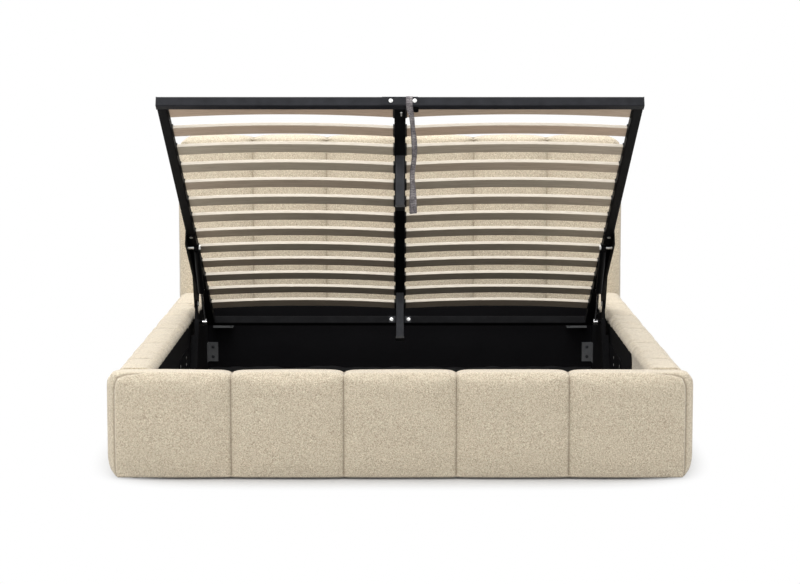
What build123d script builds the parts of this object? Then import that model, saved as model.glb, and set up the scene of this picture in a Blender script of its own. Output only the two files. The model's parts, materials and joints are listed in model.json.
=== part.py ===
from build123d import *

import os
from math import atan2, cos, degrees, hypot, radians, sin

# King-size ottoman storage bed with an end-lift platform, shown with the platform raised.
# All lengths are millimetres. X runs across the bed, Y runs from the foot (-Y) to the headboard
# (+Y) and Z is up from the floor. The origin is on the floor, under the middle of the bed.

os.makedirs("parts", exist_ok=True)

# Base: outer sizes and boards
base_width = 1740
base_height = 330
glide_height = 6
glide_radius = 20
foot_thickness = 105
rail_thickness = 110
board_thickness = 18
liner_thickness = 3
pad_over_board = 30
inner_board_gap = 0.3

# Upholstery: padded channels with sewn seams between them
side_crown = 13
channel_groove = 13
channel_crown = 4
channel_roll = 26
roll_mid_shares = (0.34, 0.30)
front_crown = 6
crown_margin = 2
top_front_radius = 30
top_inner_radius = 20
corner_radius = 25
foot_channel = 342
rail_first_seam = 314
rail_channel = 368
board_end_cover = 13

# Headboard
headboard_height = 950
headboard_thickness = 130
headboard_channels = 6
headboard_top_radius = 40
headboard_corner_radius = 45
headboard_back_radius = 14
headboard_side_groove = 5
headboard_rim = 40
headboard_foam = 45
headboard_frame = 30
back_panel_thickness = 7
panel_fit = 0.5

# Storage floor
batten_width = 18
batten_height = 16
floor_thickness = 6
floor_edge_gap = 1
centre_beam_width = 40
cloth_thickness = 1.5
cloth_edge_gap = 4
right_liner_start = 600
right_liner_radius = 70

# Platform frame: square steel tube
platform_length = 1980
foot_gap = 7
head_gap = 21.7
tube = 30
tube_wall = 1.5
tube_corner = 3
centre_tube_width = 35
foot_plate_half, foot_plate_bolts = 55, (-28, 45)
head_plate_half, head_plate_bolts = 43, (-33, 33)
sheet_steel = 3
strap_stop_inner, strap_stop_outer = 40.5, 57
strap_stop_length, strap_stop_corner = 36, 7
stop_middle = 25
plate_margin = 1.5
plug_cap = 2
plug_depth = 12
plug_fit = 0.4
closed_height = 226.6

# Slats
slat_count = 13
slat_first = 75
slat_last_gap = 201
slat_width = 62
slat_thickness = 11
slat_bow = 14
slat_drop = 5
holder_length = 66
holder_wall = 2
holder_lip = 2.5
holder_skin = 1.5
holder_fit = 0.5

# Centre legs: one near the platform's foot end, one near its head end
foot_leg_from_foot, head_leg_from_head = 385, 350
leg_width = 28
leg_cap_width = 31
leg_cap_height = 8
leg_floor_gap = 1.6

# Lift mechanism: angles of the raised platform and of its rear links
tilt = 27.2
rear_link_swing = 68.85
# Pivots on the platform: from its head end, and below the tube's centre line
rear_pivot_from_head, rear_pivot_below = 421.4, 30.5
front_pivot_from_head, front_pivot_below = 500, 110
strut_pivot_from_head, strut_pivot_below = 862, 35
# Pivots on the base: in front of the closed platform's head end, and above the floor
rear_base_from_head, rear_base_up = 635, 207
front_base_from_head, front_base_up = 831.9, 85.8
# Crank on the front link that the gas strut pushes on
crank_radius = 70
crank_angle = 39.8
link_thickness = 5
side_gap = 1.5
base_plate_thickness = 4
link_boss = 15
crank_boss = 12
pin_radius = 5
pin_fit = 0.08
open_pivot_fit = 1.3
rivet_radius = 9
rivet_head = 1
rivet_fit = 0.1
nut_height = 5
link_flange = 3
link_flange_start, link_flange_end, link_flange_wide_end = 25, 265, 200
link_flange_inset = 9
flange_proud = 0.4
link_flange_gap = 1
crank_stud_radius = 6
arm_start_from_head, arm_end_from_head = 940, 380
arm_depth = 55
arm_lobe_depth = 132
arm_lobe_half = 25
arm_top_below = -12
arm_corner = 9
base_plate_front_from_head, base_plate_rear_from_head = 1160, 490
base_plate_top, base_plate_shoulder, base_plate_bottom = 232, 158, 50
base_plate_lobe_half = 82
base_plate_corner = 20

# Gas strut
strut_inset = 15
strut_radius = 11
strut_bore = 8.5
strut_body_length = 250
strut_start = 13
strut_gland = 14
rod_radius = 5
rod_fit = 0.1
piston_length = 14
piston_fit = 0.3
eye_radius = 12
eye_width = 16
strut_open_gap = 0.3

# Brackets and fasteners
corner_leg = 40
corner_height = 76
corner_up = 58
bracket_sheet = 2.5
rest_width = 78
rest_from_liner = 25
rest_depth = 45
rest_flange = 12
rest_pad_thickness = 2.3
rest_gap = 0.3
rest_hole_radius = 3
screw_radius = 4
screw_head = 1
bolt_radius = 6
bolt_height = 5
flat_bolt_height = 2.8

# Pull strap
strap_width = 20
strap_inner = 18.5
strap_thickness = 4
strap_loop = 2
strap_clear = 0.3
strap_drop = 325
strap_sway = 7
strap_folds = 3

# One allowance for every cut that runs past its part
overrun = 5

# Positions that follow from the sizes above, as distances behind the foot face
slat_pitch = (platform_length - slat_first - slat_last_gap) / (slat_count - 1)
leg_stations = (foot_leg_from_foot, platform_length - head_leg_from_head)
rear_pivot_along = platform_length - rear_pivot_from_head
front_pivot_along = platform_length - front_pivot_from_head
strut_pivot_along = platform_length - strut_pivot_from_head
rear_base_behind = platform_length - rear_base_from_head
front_base_behind = platform_length - front_base_from_head
arm_start = platform_length - arm_start_from_head
arm_end = platform_length - arm_end_from_head
base_plate_front = platform_length - base_plate_front_from_head
base_plate_rear = platform_length - base_plate_rear_from_head
inner_half = base_width / 2 - rail_thickness
closed_foot = foot_thickness + foot_gap
closed_head = closed_foot + platform_length
head_board_front = closed_head + head_gap
head_board_back = head_board_front + board_thickness
headboard_front = head_board_back + inner_board_gap
overall_length = headboard_front + headboard_thickness
board_top = base_height - pad_over_board
board_low = glide_height
floor_top = board_low + batten_height + floor_thickness
cloth_top = floor_top + cloth_thickness


def behind(distance):
    """Y of a point that is this far behind the foot face."""
    return distance - overall_length / 2


# Sideways stack of the mechanism, from the rail inwards
base_plate_inner = inner_half - base_plate_thickness
link_outer = base_plate_inner - side_gap
link_inner = link_outer - link_thickness
arm_outer = link_inner - side_gap
platform_half = arm_outer - sheet_steel
front_link_outer = platform_half - side_gap
front_link_inner = front_link_outer - link_thickness
tube_middle = platform_half - tube / 2

# Pivots of the open linkage, as (distance behind the foot face, height)
rear_base = (closed_foot + rear_base_behind, rear_base_up)
front_base = (closed_foot + front_base_behind, front_base_up)
closed_rear = (closed_foot + rear_pivot_along, closed_height - rear_pivot_below)
rear_link_length = hypot(closed_rear[0] - rear_base[0], closed_rear[1] - rear_base[1])
closed_rear_angle = degrees(atan2(closed_rear[1] - rear_base[1], closed_rear[0] - rear_base[0]))
open_rear_angle = radians(closed_rear_angle + rear_link_swing)
open_rear = (
    rear_base[0] + rear_link_length * cos(open_rear_angle),
    rear_base[1] + rear_link_length * sin(open_rear_angle),
)
along_cos, along_sin = cos(radians(tilt)), sin(radians(tilt))
open_foot = (
    open_rear[0] - rear_pivot_along * along_cos + rear_pivot_below * along_sin,
    open_rear[1] + rear_pivot_along * along_sin + rear_pivot_below * along_cos,
)


def on_platform(along, below):
    """A point of the raised platform, as (distance behind the foot face, height)."""
    return (
        open_foot[0] + along * along_cos - below * along_sin,
        open_foot[1] - along * along_sin - below * along_cos,
    )


open_front = on_platform(front_pivot_along, front_pivot_below)
crank_along = front_pivot_along + crank_radius * sin(radians(crank_angle))
crank_below = front_pivot_below + crank_radius * cos(radians(crank_angle))
open_crank = on_platform(crank_along, crank_below)
strut_top = on_platform(strut_pivot_along, strut_pivot_below)
strut_length = hypot(open_crank[0] - strut_top[0], open_crank[1] - strut_top[1])

# The platform's own plane: local Y runs from its foot end to its head end, local Z is its top side
platform_plane = Plane(
    origin=(0, behind(open_foot[0]), open_foot[1]),
    x_dir=(1, 0, 0),
    z_dir=(0, along_sin, along_cos),
)


def side_plane(x):
    """An upright plane across X, whose local X is world Y and local Y is world Z."""
    return Plane(origin=(x, 0, 0), x_dir=(0, 1, 0), z_dir=(1, 0, 0))


def platform_side_plane(x):
    """The same for the platform: local X runs along it and local Y is its top side."""
    return Plane(
        origin=(x, behind(open_foot[0]), open_foot[1]),
        x_dir=(0, along_cos, -along_sin),
        z_dir=(1, 0, 0),
    )


def place(point):
    """A (distance behind the foot face, height) pair as a point of a side plane."""
    return (behind(point[0]), point[1])


def channel_row(stations, at):
    """Adds the arcs of a row of padded channels to the open BuildLine.

    at(s, drop) gives the sketch point s along the row and drop below the channels' highest line.
    """
    mid_s, mid_drop = roll_mid_shares
    for start, end in zip(stations, stations[1:]):
        roll = min(channel_roll, (end - start) / 3)
        mid_low = channel_crown + mid_drop * (channel_groove - channel_crown)
        ThreePointArc(at(start, channel_groove), at(start + mid_s * roll, mid_low), at(start + roll, channel_crown))
        ThreePointArc(at(start + roll, channel_crown), at((start + end) / 2, 0), at(end - roll, channel_crown))
        ThreePointArc(at(end - roll, channel_crown), at(end - mid_s * roll, mid_low), at(end, channel_groove))


def evenly(start, end, count):
    """count equal spans from start to end, as count + 1 stations."""
    return [start + (end - start) * i / count for i in range(count + 1)]


half_width = base_width / 2
overall_half = half_width + side_crown
foot_seams = [foot_channel * (i - 1.5) for i in range(4)]
foot_stations = [-half_width, *foot_seams, half_width]

# Foot panel: a board, and a pad in front of it, over it and round its ends
board_half = half_width - board_end_cover
foot_board_front = foot_thickness - board_thickness

with BuildPart() as foot_panel_board:
    with BuildSketch(Plane.XY.offset(board_low)):
        with Locations((0, behind(foot_board_front + board_thickness / 2))):
            Rectangle(2 * board_half, board_thickness)
    extrude(amount=board_top - board_low)

with BuildPart() as foot_panel_pad:
    # Plan: channels across the front and a crowned end on each side
    with BuildSketch(Plane.XY):
        with BuildLine():
            channel_row(foot_stations, lambda s, drop: (s, behind(drop)))
            for side in (1, -1):
                ThreePointArc(
                    (side * half_width, behind(channel_groove)),
                    (side * overall_half, behind(foot_thickness / 2)),
                    (side * half_width, behind(foot_thickness)),
                )
            Line((half_width, behind(foot_thickness)), (-half_width, behind(foot_thickness)))
        make_face()
    extrude(amount=base_height)
    # Cross-section from front to back
    with BuildSketch(Plane.YZ):
        with BuildLine():
            low_front = (behind(front_crown), board_low)
            high_front = (behind(front_crown), base_height - top_front_radius)
            ThreePointArc(low_front, (behind(-crown_margin), base_height / 2), high_front)
            top_start = (behind(front_crown + top_front_radius), base_height)
            RadiusArc(high_front, top_start, top_front_radius)
            top_end = (behind(foot_thickness - top_inner_radius), base_height)
            Line(top_start, top_end)
            back_top = (behind(foot_thickness), base_height - top_inner_radius)
            RadiusArc(top_end, back_top, top_inner_radius)
            back_low = (behind(foot_thickness), board_low)
            Polyline(back_top, back_low, low_front)
        make_face()
    extrude(amount=base_width, both=True, mode=Mode.INTERSECT)
    # Elevation: bowed ends and a channelled top
    with BuildSketch(Plane.XZ):
        with BuildLine():
            top_row = [-half_width + corner_radius, *foot_seams, half_width - corner_radius]
            channel_row(top_row, lambda s, drop: (s, base_height - drop))
            low_corner = base_height - channel_groove - corner_radius
            for side in (1, -1):
                RadiusArc(
                    (side * (half_width - corner_radius), base_height - channel_groove),
                    (side * half_width, low_corner),
                    side * corner_radius,
                )
                ThreePointArc(
                    (side * half_width, low_corner),
                    (side * (overall_half + crown_margin), base_height / 2),
                    (side * half_width, board_low),
                )
            Line((-half_width, board_low), (half_width, board_low))
        make_face()
    extrude(amount=overall_length, both=True, mode=Mode.INTERSECT)
    # The board's pocket
    with BuildSketch(Plane.XY):
        with Locations((0, behind(foot_board_front + board_thickness / 2))):
            Rectangle(2 * board_half, board_thickness)
    extrude(amount=board_top, mode=Mode.SUBTRACT)

# Side rails: a board with padding outside it and over its top
rail_board_inner = inner_half + liner_thickness
rail_board_outer = rail_board_inner + board_thickness
rail_front, rail_back = foot_thickness, head_board_back
rail_seam_count = int((rail_back - rail_first_seam - rail_channel / 2) // rail_channel) + 1
rail_seams = [rail_first_seam + rail_channel * i for i in range(rail_seam_count)]
rail_stations = [rail_front, *rail_seams, rail_back]

with BuildPart() as right_rail_board:
    with BuildSketch(Plane.XY.offset(board_low)):
        with Locations((rail_board_inner + board_thickness / 2, behind((rail_front + rail_back) / 2))):
            Rectangle(board_thickness, rail_back - rail_front)
    extrude(amount=board_top - board_low)

with BuildPart() as right_rail_pad:
    # Plan: channels along the outer face
    with BuildSketch(Plane.XY):
        with BuildLine():
            channel_row(rail_stations, lambda s, drop: (overall_half - drop, behind(s)))
            front_outer = (overall_half - channel_groove, behind(rail_front))
            back_outer = (overall_half - channel_groove, behind(rail_back))
            Polyline(front_outer, (inner_half, behind(rail_front)), (inner_half, behind(rail_back)), back_outer)
        make_face()
    extrude(amount=base_height)
    # Cross-section, with the step that sits over the board and its liner
    with BuildSketch(Plane.XZ):
        with BuildLine():
            low_outer = (half_width, board_low)
            high_outer = (overall_half - front_crown, base_height - top_front_radius)
            ThreePointArc(low_outer, (overall_half + crown_margin, base_height / 2), high_outer)
            top_outer = (overall_half - front_crown - top_front_radius, base_height)
            RadiusArc(high_outer, top_outer, -top_front_radius)
            top_inner = (inner_half + top_inner_radius, base_height)
            Line(top_outer, top_inner)
            inner_top = (inner_half, base_height - top_inner_radius)
            RadiusArc(top_inner, inner_top, -top_inner_radius)
            Polyline(
                inner_top,
                (inner_half, board_top),
                (rail_board_outer, board_top),
                (rail_board_outer, board_low),
                low_outer,
            )
        make_face()
    extrude(amount=overall_length, both=True, mode=Mode.INTERSECT)
    # Channelled top
    with BuildSketch(Plane.YZ):
        with BuildLine():
            channel_row(rail_stations, lambda s, drop: (behind(s), base_height - drop))
            front_top = (behind(rail_front), base_height - channel_groove)
            back_top = (behind(rail_back), base_height - channel_groove)
            Polyline(front_top, (behind(rail_front), board_low), (behind(rail_back), board_low), back_top)
        make_face()
    extrude(amount=base_width, both=True, mode=Mode.INTERSECT)

# Black hardboard liners inside the rails; the right one stops short of the foot with a round corner
liner_middle_x = inner_half + liner_thickness / 2

with BuildPart() as left_liner:
    with BuildSketch(side_plane(-rail_board_inner)):
        with Locations((behind((rail_front + head_board_front) / 2), (floor_top + board_top) / 2)):
            Rectangle(head_board_front - rail_front, board_top - floor_top)
    extrude(amount=liner_thickness)

with BuildPart() as right_liner:
    with BuildSketch(side_plane(inner_half)):
        with Locations((behind((right_liner_start + head_board_front) / 2), (floor_top + board_top) / 2)):
            Rectangle(head_board_front - right_liner_start, board_top - floor_top)
    extrude(amount=liner_thickness)
    fillet(right_liner.edges().filter_by(Axis.X).group_by(Axis.Y)[0].sort_by(Axis.Z)[0], right_liner_radius)

# Head end: the inner board closes the storage box in front of the headboard
with BuildPart() as head_inner_board:
    with BuildSketch(Plane.XY.offset(board_low)):
        with Locations((0, behind(head_board_front + board_thickness / 2))):
            Rectangle(2 * rail_board_inner, board_thickness)
    extrude(amount=board_top - board_low)

# Headboard: padded front, sides and top on a board, closed by a back panel
pocket_half = half_width - headboard_rim
pocket_top = headboard_height - headboard_rim
headboard_board_front = headboard_front + headboard_foam

with BuildPart() as headboard_pad:
    with BuildSketch(Plane.XY):
        with BuildLine():
            head_stations = evenly(-half_width, half_width, headboard_channels)
            channel_row(head_stations, lambda s, drop: (s, behind(headboard_front + drop)))
            for side in (1, -1):
                side_middle = side * (half_width + headboard_side_groove)
                ThreePointArc(
                    (side * half_width, behind(headboard_front + channel_groove)),
                    (side_middle, behind(headboard_front + headboard_thickness / 2)),
                    (side * half_width, behind(overall_length)),
                )
            Line((half_width, behind(overall_length)), (-half_width, behind(overall_length)))
        make_face()
    extrude(amount=headboard_height)
    with BuildSketch(Plane.YZ):
        with BuildLine():
            front_low = (behind(headboard_front), board_low)
            front_high = (behind(headboard_front), headboard_height - headboard_top_radius)
            crest_front = (behind(headboard_front + headboard_top_radius), headboard_height)
            crest_back = (behind(overall_length - headboard_back_radius), headboard_height)
            back_high = (behind(overall_length), headboard_height - headboard_back_radius)
            Line(front_low, front_high)
            RadiusArc(front_high, crest_front, headboard_top_radius)
            Line(crest_front, crest_back)
            RadiusArc(crest_back, back_high, headboard_back_radius)
            Polyline(back_high, (behind(overall_length), board_low), front_low)
        make_face()
    extrude(amount=base_width, both=True, mode=Mode.INTERSECT)
    with BuildSketch(Plane.XZ):
        with BuildLine():
            corner_x = half_width + headboard_side_groove - headboard_corner_radius
            crest_row = [-corner_x, *head_stations[1:-1], corner_x]
            channel_row(crest_row, lambda s, drop: (s, headboard_height - drop))
            low_corner = headboard_height - channel_groove - headboard_corner_radius
            for side in (1, -1):
                edge_x = side * (corner_x + headboard_corner_radius)
                RadiusArc(
                    (side * corner_x, headboard_height - channel_groove),
                    (edge_x, low_corner),
                    side * headboard_corner_radius,
                )
                Line((edge_x, low_corner), (edge_x, board_low))
            Line((-corner_x - headboard_corner_radius, board_low), (corner_x + headboard_corner_radius, board_low))
        make_face()
    extrude(amount=overall_length, both=True, mode=Mode.INTERSECT)
    with BuildSketch(Plane.XY):
        with Locations((0, behind(headboard_board_front + (overall_length - headboard_board_front) / 2))):
            Rectangle(2 * pocket_half, overall_length - headboard_board_front)
    extrude(amount=pocket_top, mode=Mode.SUBTRACT)

with BuildPart() as headboard_board:
    with BuildSketch(Plane.XY.offset(board_low)):
        with Locations((0, behind(headboard_board_front + board_thickness / 2))):
            Rectangle(2 * pocket_half, board_thickness)
    extrude(amount=pocket_top - board_low)
    # A timber frame behind the board, with a middle post, carries the back panel
    frame_depth = overall_length - back_panel_thickness - headboard_board_front - board_thickness
    with BuildSketch(Plane.XZ.offset(-behind(headboard_board_front + board_thickness))):
        frame_height = pocket_top - board_low
        with Locations((0, board_low + frame_height / 2)):
            Rectangle(2 * pocket_half, frame_height)
            opening = pocket_half - 1.5 * headboard_frame
            with Locations((opening / 2 + headboard_frame / 2, 0), (-opening / 2 - headboard_frame / 2, 0)):
                Rectangle(opening, frame_height - 2 * headboard_frame, mode=Mode.SUBTRACT)
    extrude(amount=-frame_depth)

with BuildPart() as headboard_back_panel:
    with BuildSketch(Plane.XY.offset(board_low)):
        with Locations((0, behind(overall_length - back_panel_thickness / 2))):
            Rectangle(2 * (pocket_half - panel_fit), back_panel_thickness)
    extrude(amount=pocket_top - panel_fit - board_low)

# Storage floor: battens round the edge, a centre beam, two floor panels and a loose cloth lining
with BuildPart() as floor_battens:
    with BuildSketch(Plane.XY.offset(board_low)):
        with Locations(
            (rail_board_inner - batten_width / 2, behind((rail_front + head_board_front) / 2)),
            (-rail_board_inner + batten_width / 2, behind((rail_front + head_board_front) / 2)),
        ):
            Rectangle(batten_width, head_board_front - rail_front)
        for batten_y in (rail_front + batten_width / 2, head_board_front - batten_width / 2):
            for side in (1, -1):
                inner_end = centre_beam_width / 2
                outer_end = rail_board_inner - batten_width
                with Locations((side * (inner_end + outer_end) / 2, behind(batten_y))):
                    Rectangle(outer_end - inner_end, batten_width)
    extrude(amount=batten_height)

with BuildPart() as centre_beam:
    with BuildSketch(Plane.XY.offset(board_low)):
        with Locations((0, behind((rail_front + head_board_front) / 2))):
            Rectangle(centre_beam_width, head_board_front - rail_front)
    extrude(amount=batten_height)

floor_front, floor_back = rail_front + floor_edge_gap, head_board_front - floor_edge_gap
floor_half = inner_half - floor_edge_gap

with BuildPart() as right_floor_panel:
    with BuildSketch(Plane.XY.offset(board_low + batten_height)):
        with Locations((floor_half / 2 + floor_edge_gap / 4, behind((floor_front + floor_back) / 2))):
            Rectangle(floor_half - floor_edge_gap / 2, floor_back - floor_front)
    extrude(amount=floor_thickness)

cloth_front, cloth_back = floor_front + cloth_edge_gap, floor_back - cloth_edge_gap
with BuildPart() as storage_cloth:
    with BuildSketch(Plane.XY.offset(floor_top)):
        with Locations((0, behind((cloth_front + cloth_back) / 2))):
            Rectangle(2 * (floor_half - cloth_edge_gap), cloth_back - cloth_front)
    extrude(amount=cloth_thickness)

# Glides under the pads and under the centre beam
glide_x = rail_board_outer + glide_radius + overrun
with BuildPart() as floor_glides:
    with BuildSketch(Plane.XY):
        for glide_y in evenly(foot_thickness / 2, headboard_front + headboard_thickness / 3, 4):
            for side in (1, -1):
                with Locations((side * glide_x, behind(glide_y))):
                    Circle(glide_radius)
        for glide_y in evenly(rail_front + 3 * glide_radius, head_board_front - 3 * glide_radius, 2):
            with Locations((0, behind(glide_y))):
                Circle(glide_radius)
    extrude(amount=glide_height)

# Corner plates: folded steel angles that tie the rails to the end boards
with BuildPart() as head_corner_plates:
    with BuildSketch(Plane.XY.offset(corner_up)):
        for side in (1, -1):
            with BuildLine():
                corner = (side * inner_half, behind(head_board_front))
                Polyline(
                    corner,
                    (side * (inner_half - corner_leg), behind(head_board_front)),
                    (side * (inner_half - corner_leg), behind(head_board_front - bracket_sheet)),
                    (side * (inner_half - bracket_sheet), behind(head_board_front - bracket_sheet)),
                    (side * (inner_half - bracket_sheet), behind(head_board_front - corner_leg)),
                    (side * inner_half, behind(head_board_front - corner_leg)),
                    corner,
                )
            make_face()
    extrude(amount=corner_height)

with BuildPart() as foot_corner_plates:
    with BuildSketch(Plane.XY.offset(corner_up)):
        for side in (1, -1):
            face_x = inner_half if side < 0 else rail_board_inner
            with BuildLine():
                corner = (side * face_x, behind(rail_front))
                Polyline(
                    corner,
                    (side * (face_x - corner_leg), behind(rail_front)),
                    (side * (face_x - corner_leg), behind(rail_front + bracket_sheet)),
                    (side * (face_x - bracket_sheet), behind(rail_front + bracket_sheet)),
                    (side * (face_x - bracket_sheet), behind(rail_front + corner_leg)),
                    (side * face_x, behind(rail_front + corner_leg)),
                    corner,
                )
            make_face()
    extrude(amount=corner_height)

# Rest brackets: the closed platform's head bar lies on their rubber pads
rest_top = closed_height - tube / 2 - rest_gap - rest_pad_thickness
rest_outer = inner_half - rest_from_liner
rest_inner = rest_outer - rest_width
rest_middle = (rest_outer + rest_inner) / 2
rest_front = head_board_front - rest_depth

with BuildPart() as right_rest_bracket:
    with BuildSketch(side_plane(rest_inner)):
        with BuildLine():
            Polyline(
                place((head_board_front, rest_top)),
                place((rest_front, rest_top)),
                place((rest_front, rest_top - rest_flange)),
                place((rest_front + bracket_sheet, rest_top - rest_flange)),
                place((rest_front + bracket_sheet, rest_top - bracket_sheet)),
                place((head_board_front - bracket_sheet, rest_top - bracket_sheet)),
                place((head_board_front - bracket_sheet, rest_top - rest_flange)),
                place((head_board_front, rest_top - rest_flange)),
                place((head_board_front, rest_top)),
            )
        make_face()
    extrude(amount=rest_width)
    hole_x = rest_inner + 3 * rest_hole_radius
    with BuildSketch(Plane.XZ.offset(-behind(rest_front + bracket_sheet + overrun))):
        with Locations((hole_x, rest_top - rest_flange / 2)):
            Circle(rest_hole_radius)
    extrude(amount=bracket_sheet + 2 * overrun, mode=Mode.SUBTRACT)

with BuildPart() as rest_pads:
    with BuildSketch(Plane.XY.offset(rest_top)):
        for side in (1, -1):
            with Locations((side * rest_middle, behind(rest_front + rest_depth / 2))):
                Rectangle(rest_width - 2 * overrun, rest_depth - 2 * overrun)
    extrude(amount=rest_pad_thickness)

# Base plates of the lift mechanism, screwed to the liners
plate_front, plate_rear = closed_foot + base_plate_front, closed_foot + base_plate_rear
lobe_front, lobe_rear = front_base[0] - base_plate_lobe_half, front_base[0] + base_plate_lobe_half

with BuildPart() as right_base_plate:
    with BuildSketch(side_plane(base_plate_inner)):
        with BuildLine():
            Polyline(
                place((plate_front, base_plate_top)),
                place((plate_rear, base_plate_top)),
                place((plate_rear, base_plate_shoulder)),
                place((lobe_rear, base_plate_bottom)),
                place((lobe_front, base_plate_bottom)),
                place((plate_front, base_plate_shoulder)),
                place((plate_front, base_plate_top)),
            )
        plate_face = make_face()
        fillet(plate_face.vertices(), base_plate_corner)
    extrude(amount=base_plate_thickness)

with BuildPart() as base_pivot_pins:
    for side in (1, -1):
        for pivot, link_face in ((rear_base, link_inner), (front_base, front_link_inner)):
            head_face = link_face - rivet_fit
            with BuildSketch(side_plane(side * base_plate_inner)):
                with Locations(place(pivot)):
                    Circle(pin_radius)
            extrude(amount=-side * (base_plate_inner - head_face))
            with BuildSketch(side_plane(side * head_face)):
                with Locations(place(pivot)):
                    Circle(rivet_radius)
            extrude(amount=-side * rivet_head)

plate_screw_inset = (base_plate_top - base_plate_shoulder) / 3
plate_screw_heights = (base_plate_top - plate_screw_inset, base_plate_shoulder + plate_screw_inset)
with BuildPart() as base_plate_screws:
    for side in (1, -1):
        with BuildSketch(side_plane(side * base_plate_inner)):
            for screw_y in evenly(plate_front + plate_screw_inset, plate_rear - plate_screw_inset, 3):
                for screw_z in plate_screw_heights:
                    with Locations(place((screw_y, screw_z))):
                        Circle(screw_radius)
        extrude(amount=-side * screw_head)

# Screws in the corner plates and the rest brackets
with BuildPart() as corner_screws:
    plate_screw_z = (corner_up + corner_height / 4, corner_up + corner_height * 3 / 4)
    for side in (1, -1):
        with BuildSketch(Plane.XZ.offset(-behind(head_board_front - bracket_sheet))):
            for screw_z in plate_screw_z:
                with Locations((side * (inner_half - corner_leg / 2), screw_z)):
                    Circle(screw_radius)
        extrude(amount=2 * screw_head)
        with BuildSketch(Plane.XZ.offset(-behind(rail_front + bracket_sheet))):
            for screw_z in plate_screw_z:
                with Locations((side * (inner_half - corner_leg / 2), screw_z)):
                    Circle(screw_radius)
        extrude(amount=-2 * screw_head)

# Platform tubes. Local X is across, local Y along and local Z up from the tubes' middle
half_tube = tube / 2


tube_inside = tube - 2 * tube_wall


def platform_section(x, y, normal, across):
    """A section plane of the platform through local (x, y), square to normal."""
    return Plane(origin=platform_plane.from_local_coords((x, y, 0)), x_dir=across, z_dir=normal)


with BuildPart() as right_side_tube:
    with BuildSketch(platform_section(tube_middle, tube, platform_plane.y_dir, (1, 0, 0))):
        RectangleRounded(tube, tube, tube_corner)
        RectangleRounded(tube_inside, tube_inside, tube_corner - tube_wall, mode=Mode.SUBTRACT)
    extrude(amount=platform_length - 2 * tube)

with BuildPart() as right_foot_bar:
    with BuildSketch(platform_section(0, half_tube, (1, 0, 0), platform_plane.y_dir)):
        RectangleRounded(tube, tube, tube_corner)
        RectangleRounded(tube_inside, tube_inside, tube_corner - tube_wall, mode=Mode.SUBTRACT)
    extrude(amount=platform_half)

with BuildPart() as right_head_bar:
    with BuildSketch(platform_section(0, platform_length - half_tube, (1, 0, 0), platform_plane.y_dir)):
        RectangleRounded(tube, tube, tube_corner)
        RectangleRounded(tube_inside, tube_inside, tube_corner - tube_wall, mode=Mode.SUBTRACT)
    extrude(amount=platform_half)

with BuildPart() as centre_rail:
    with BuildSketch(platform_section(0, tube, platform_plane.y_dir, (1, 0, 0))):
        RectangleRounded(centre_tube_width, tube, tube_corner)
        centre_inside = centre_tube_width - 2 * tube_wall
        RectangleRounded(centre_inside, tube_inside, tube_corner - tube_wall, mode=Mode.SUBTRACT)
    extrude(amount=platform_length - 2 * tube - sheet_steel)

with BuildPart() as joint_plates:
    for plate_end, plate_half in (
        (0, foot_plate_half),
        (platform_length - tube, head_plate_half),
    ):
        with BuildSketch(platform_plane.offset(-half_tube + plate_margin)):
            with Locations((0, plate_end - sheet_steel / 2)):
                Rectangle(2 * plate_half, sheet_steel)
        extrude(amount=tube - 2 * plate_margin)

# A small rounded lug under the foot bar stops the strap from sliding along it
with BuildPart() as strap_stop:
    with BuildSketch(platform_plane.offset(-half_tube)):
        with Locations(((strap_stop_inner + strap_stop_outer) / 2, stop_middle)):
            RectangleRounded(strap_stop_outer - strap_stop_inner, strap_stop_length, strap_stop_corner)
    extrude(amount=-sheet_steel)

with BuildPart() as tube_plugs:
    plug_size = tube - 2 * tube_wall - plug_fit
    for side in (1, -1):
        for bar_y in (half_tube, platform_length - half_tube):
            with BuildSketch(platform_plane.offset(-half_tube)):
                with Locations((side * (platform_half + plug_cap / 2), bar_y)):
                    Rectangle(plug_cap, tube)
            extrude(amount=tube)
            with BuildSketch(platform_plane.offset(-plug_size / 2)):
                with Locations((side * (platform_half - plug_depth / 2), bar_y)):
                    Rectangle(plug_depth, plug_size)
            extrude(amount=plug_size)

# Slats: bowed strips between the side tube and the centre rail
slat_outer = platform_half - tube - holder_wall
slat_inner = centre_tube_width / 2 + holder_wall
slat_centres = [slat_first + slat_pitch * i for i in range(slat_count)]


def across_plane(y):
    """An upright plane across the platform: local X is across, local Y is its top side."""
    return platform_section(0, y, -platform_plane.y_dir, (1, 0, 0))


with BuildPart() as right_slats:
    for slat_y in slat_centres:
        with BuildSketch(across_plane(slat_y + slat_width / 2)):
            with BuildLine():
                middle_x = (slat_inner + slat_outer) / 2
                low_inner, low_outer = (slat_inner, -slat_drop), (slat_outer, -slat_drop)
                high_inner = (slat_inner, slat_thickness - slat_drop)
                high_outer = (slat_outer, slat_thickness - slat_drop)
                ThreePointArc(low_inner, (middle_x, slat_bow - slat_drop), low_outer)
                Line(low_outer, high_outer)
                ThreePointArc(high_outer, (middle_x, slat_bow + slat_thickness - slat_drop), high_inner)
                Line(high_inner, low_inner)
            make_face()
        extrude(amount=slat_width)


def holder_outline(wall_x, lip_sign):
    """The outline of a C-shaped holder against a tube wall at wall_x, open towards lip_sign."""
    back_x = wall_x + lip_sign * (holder_wall - holder_fit)
    tip_x = back_x + lip_sign * holder_lip
    low, high = -slat_drop - holder_fit, slat_thickness - slat_drop + 2 * holder_fit
    return (
        (wall_x, low - holder_skin),
        (tip_x, low - holder_skin),
        (tip_x, low),
        (back_x, low),
        (back_x, high),
        (tip_x, high),
        (tip_x, high + holder_skin),
        (wall_x, high + holder_skin),
        (wall_x, low - holder_skin),
    )


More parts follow.
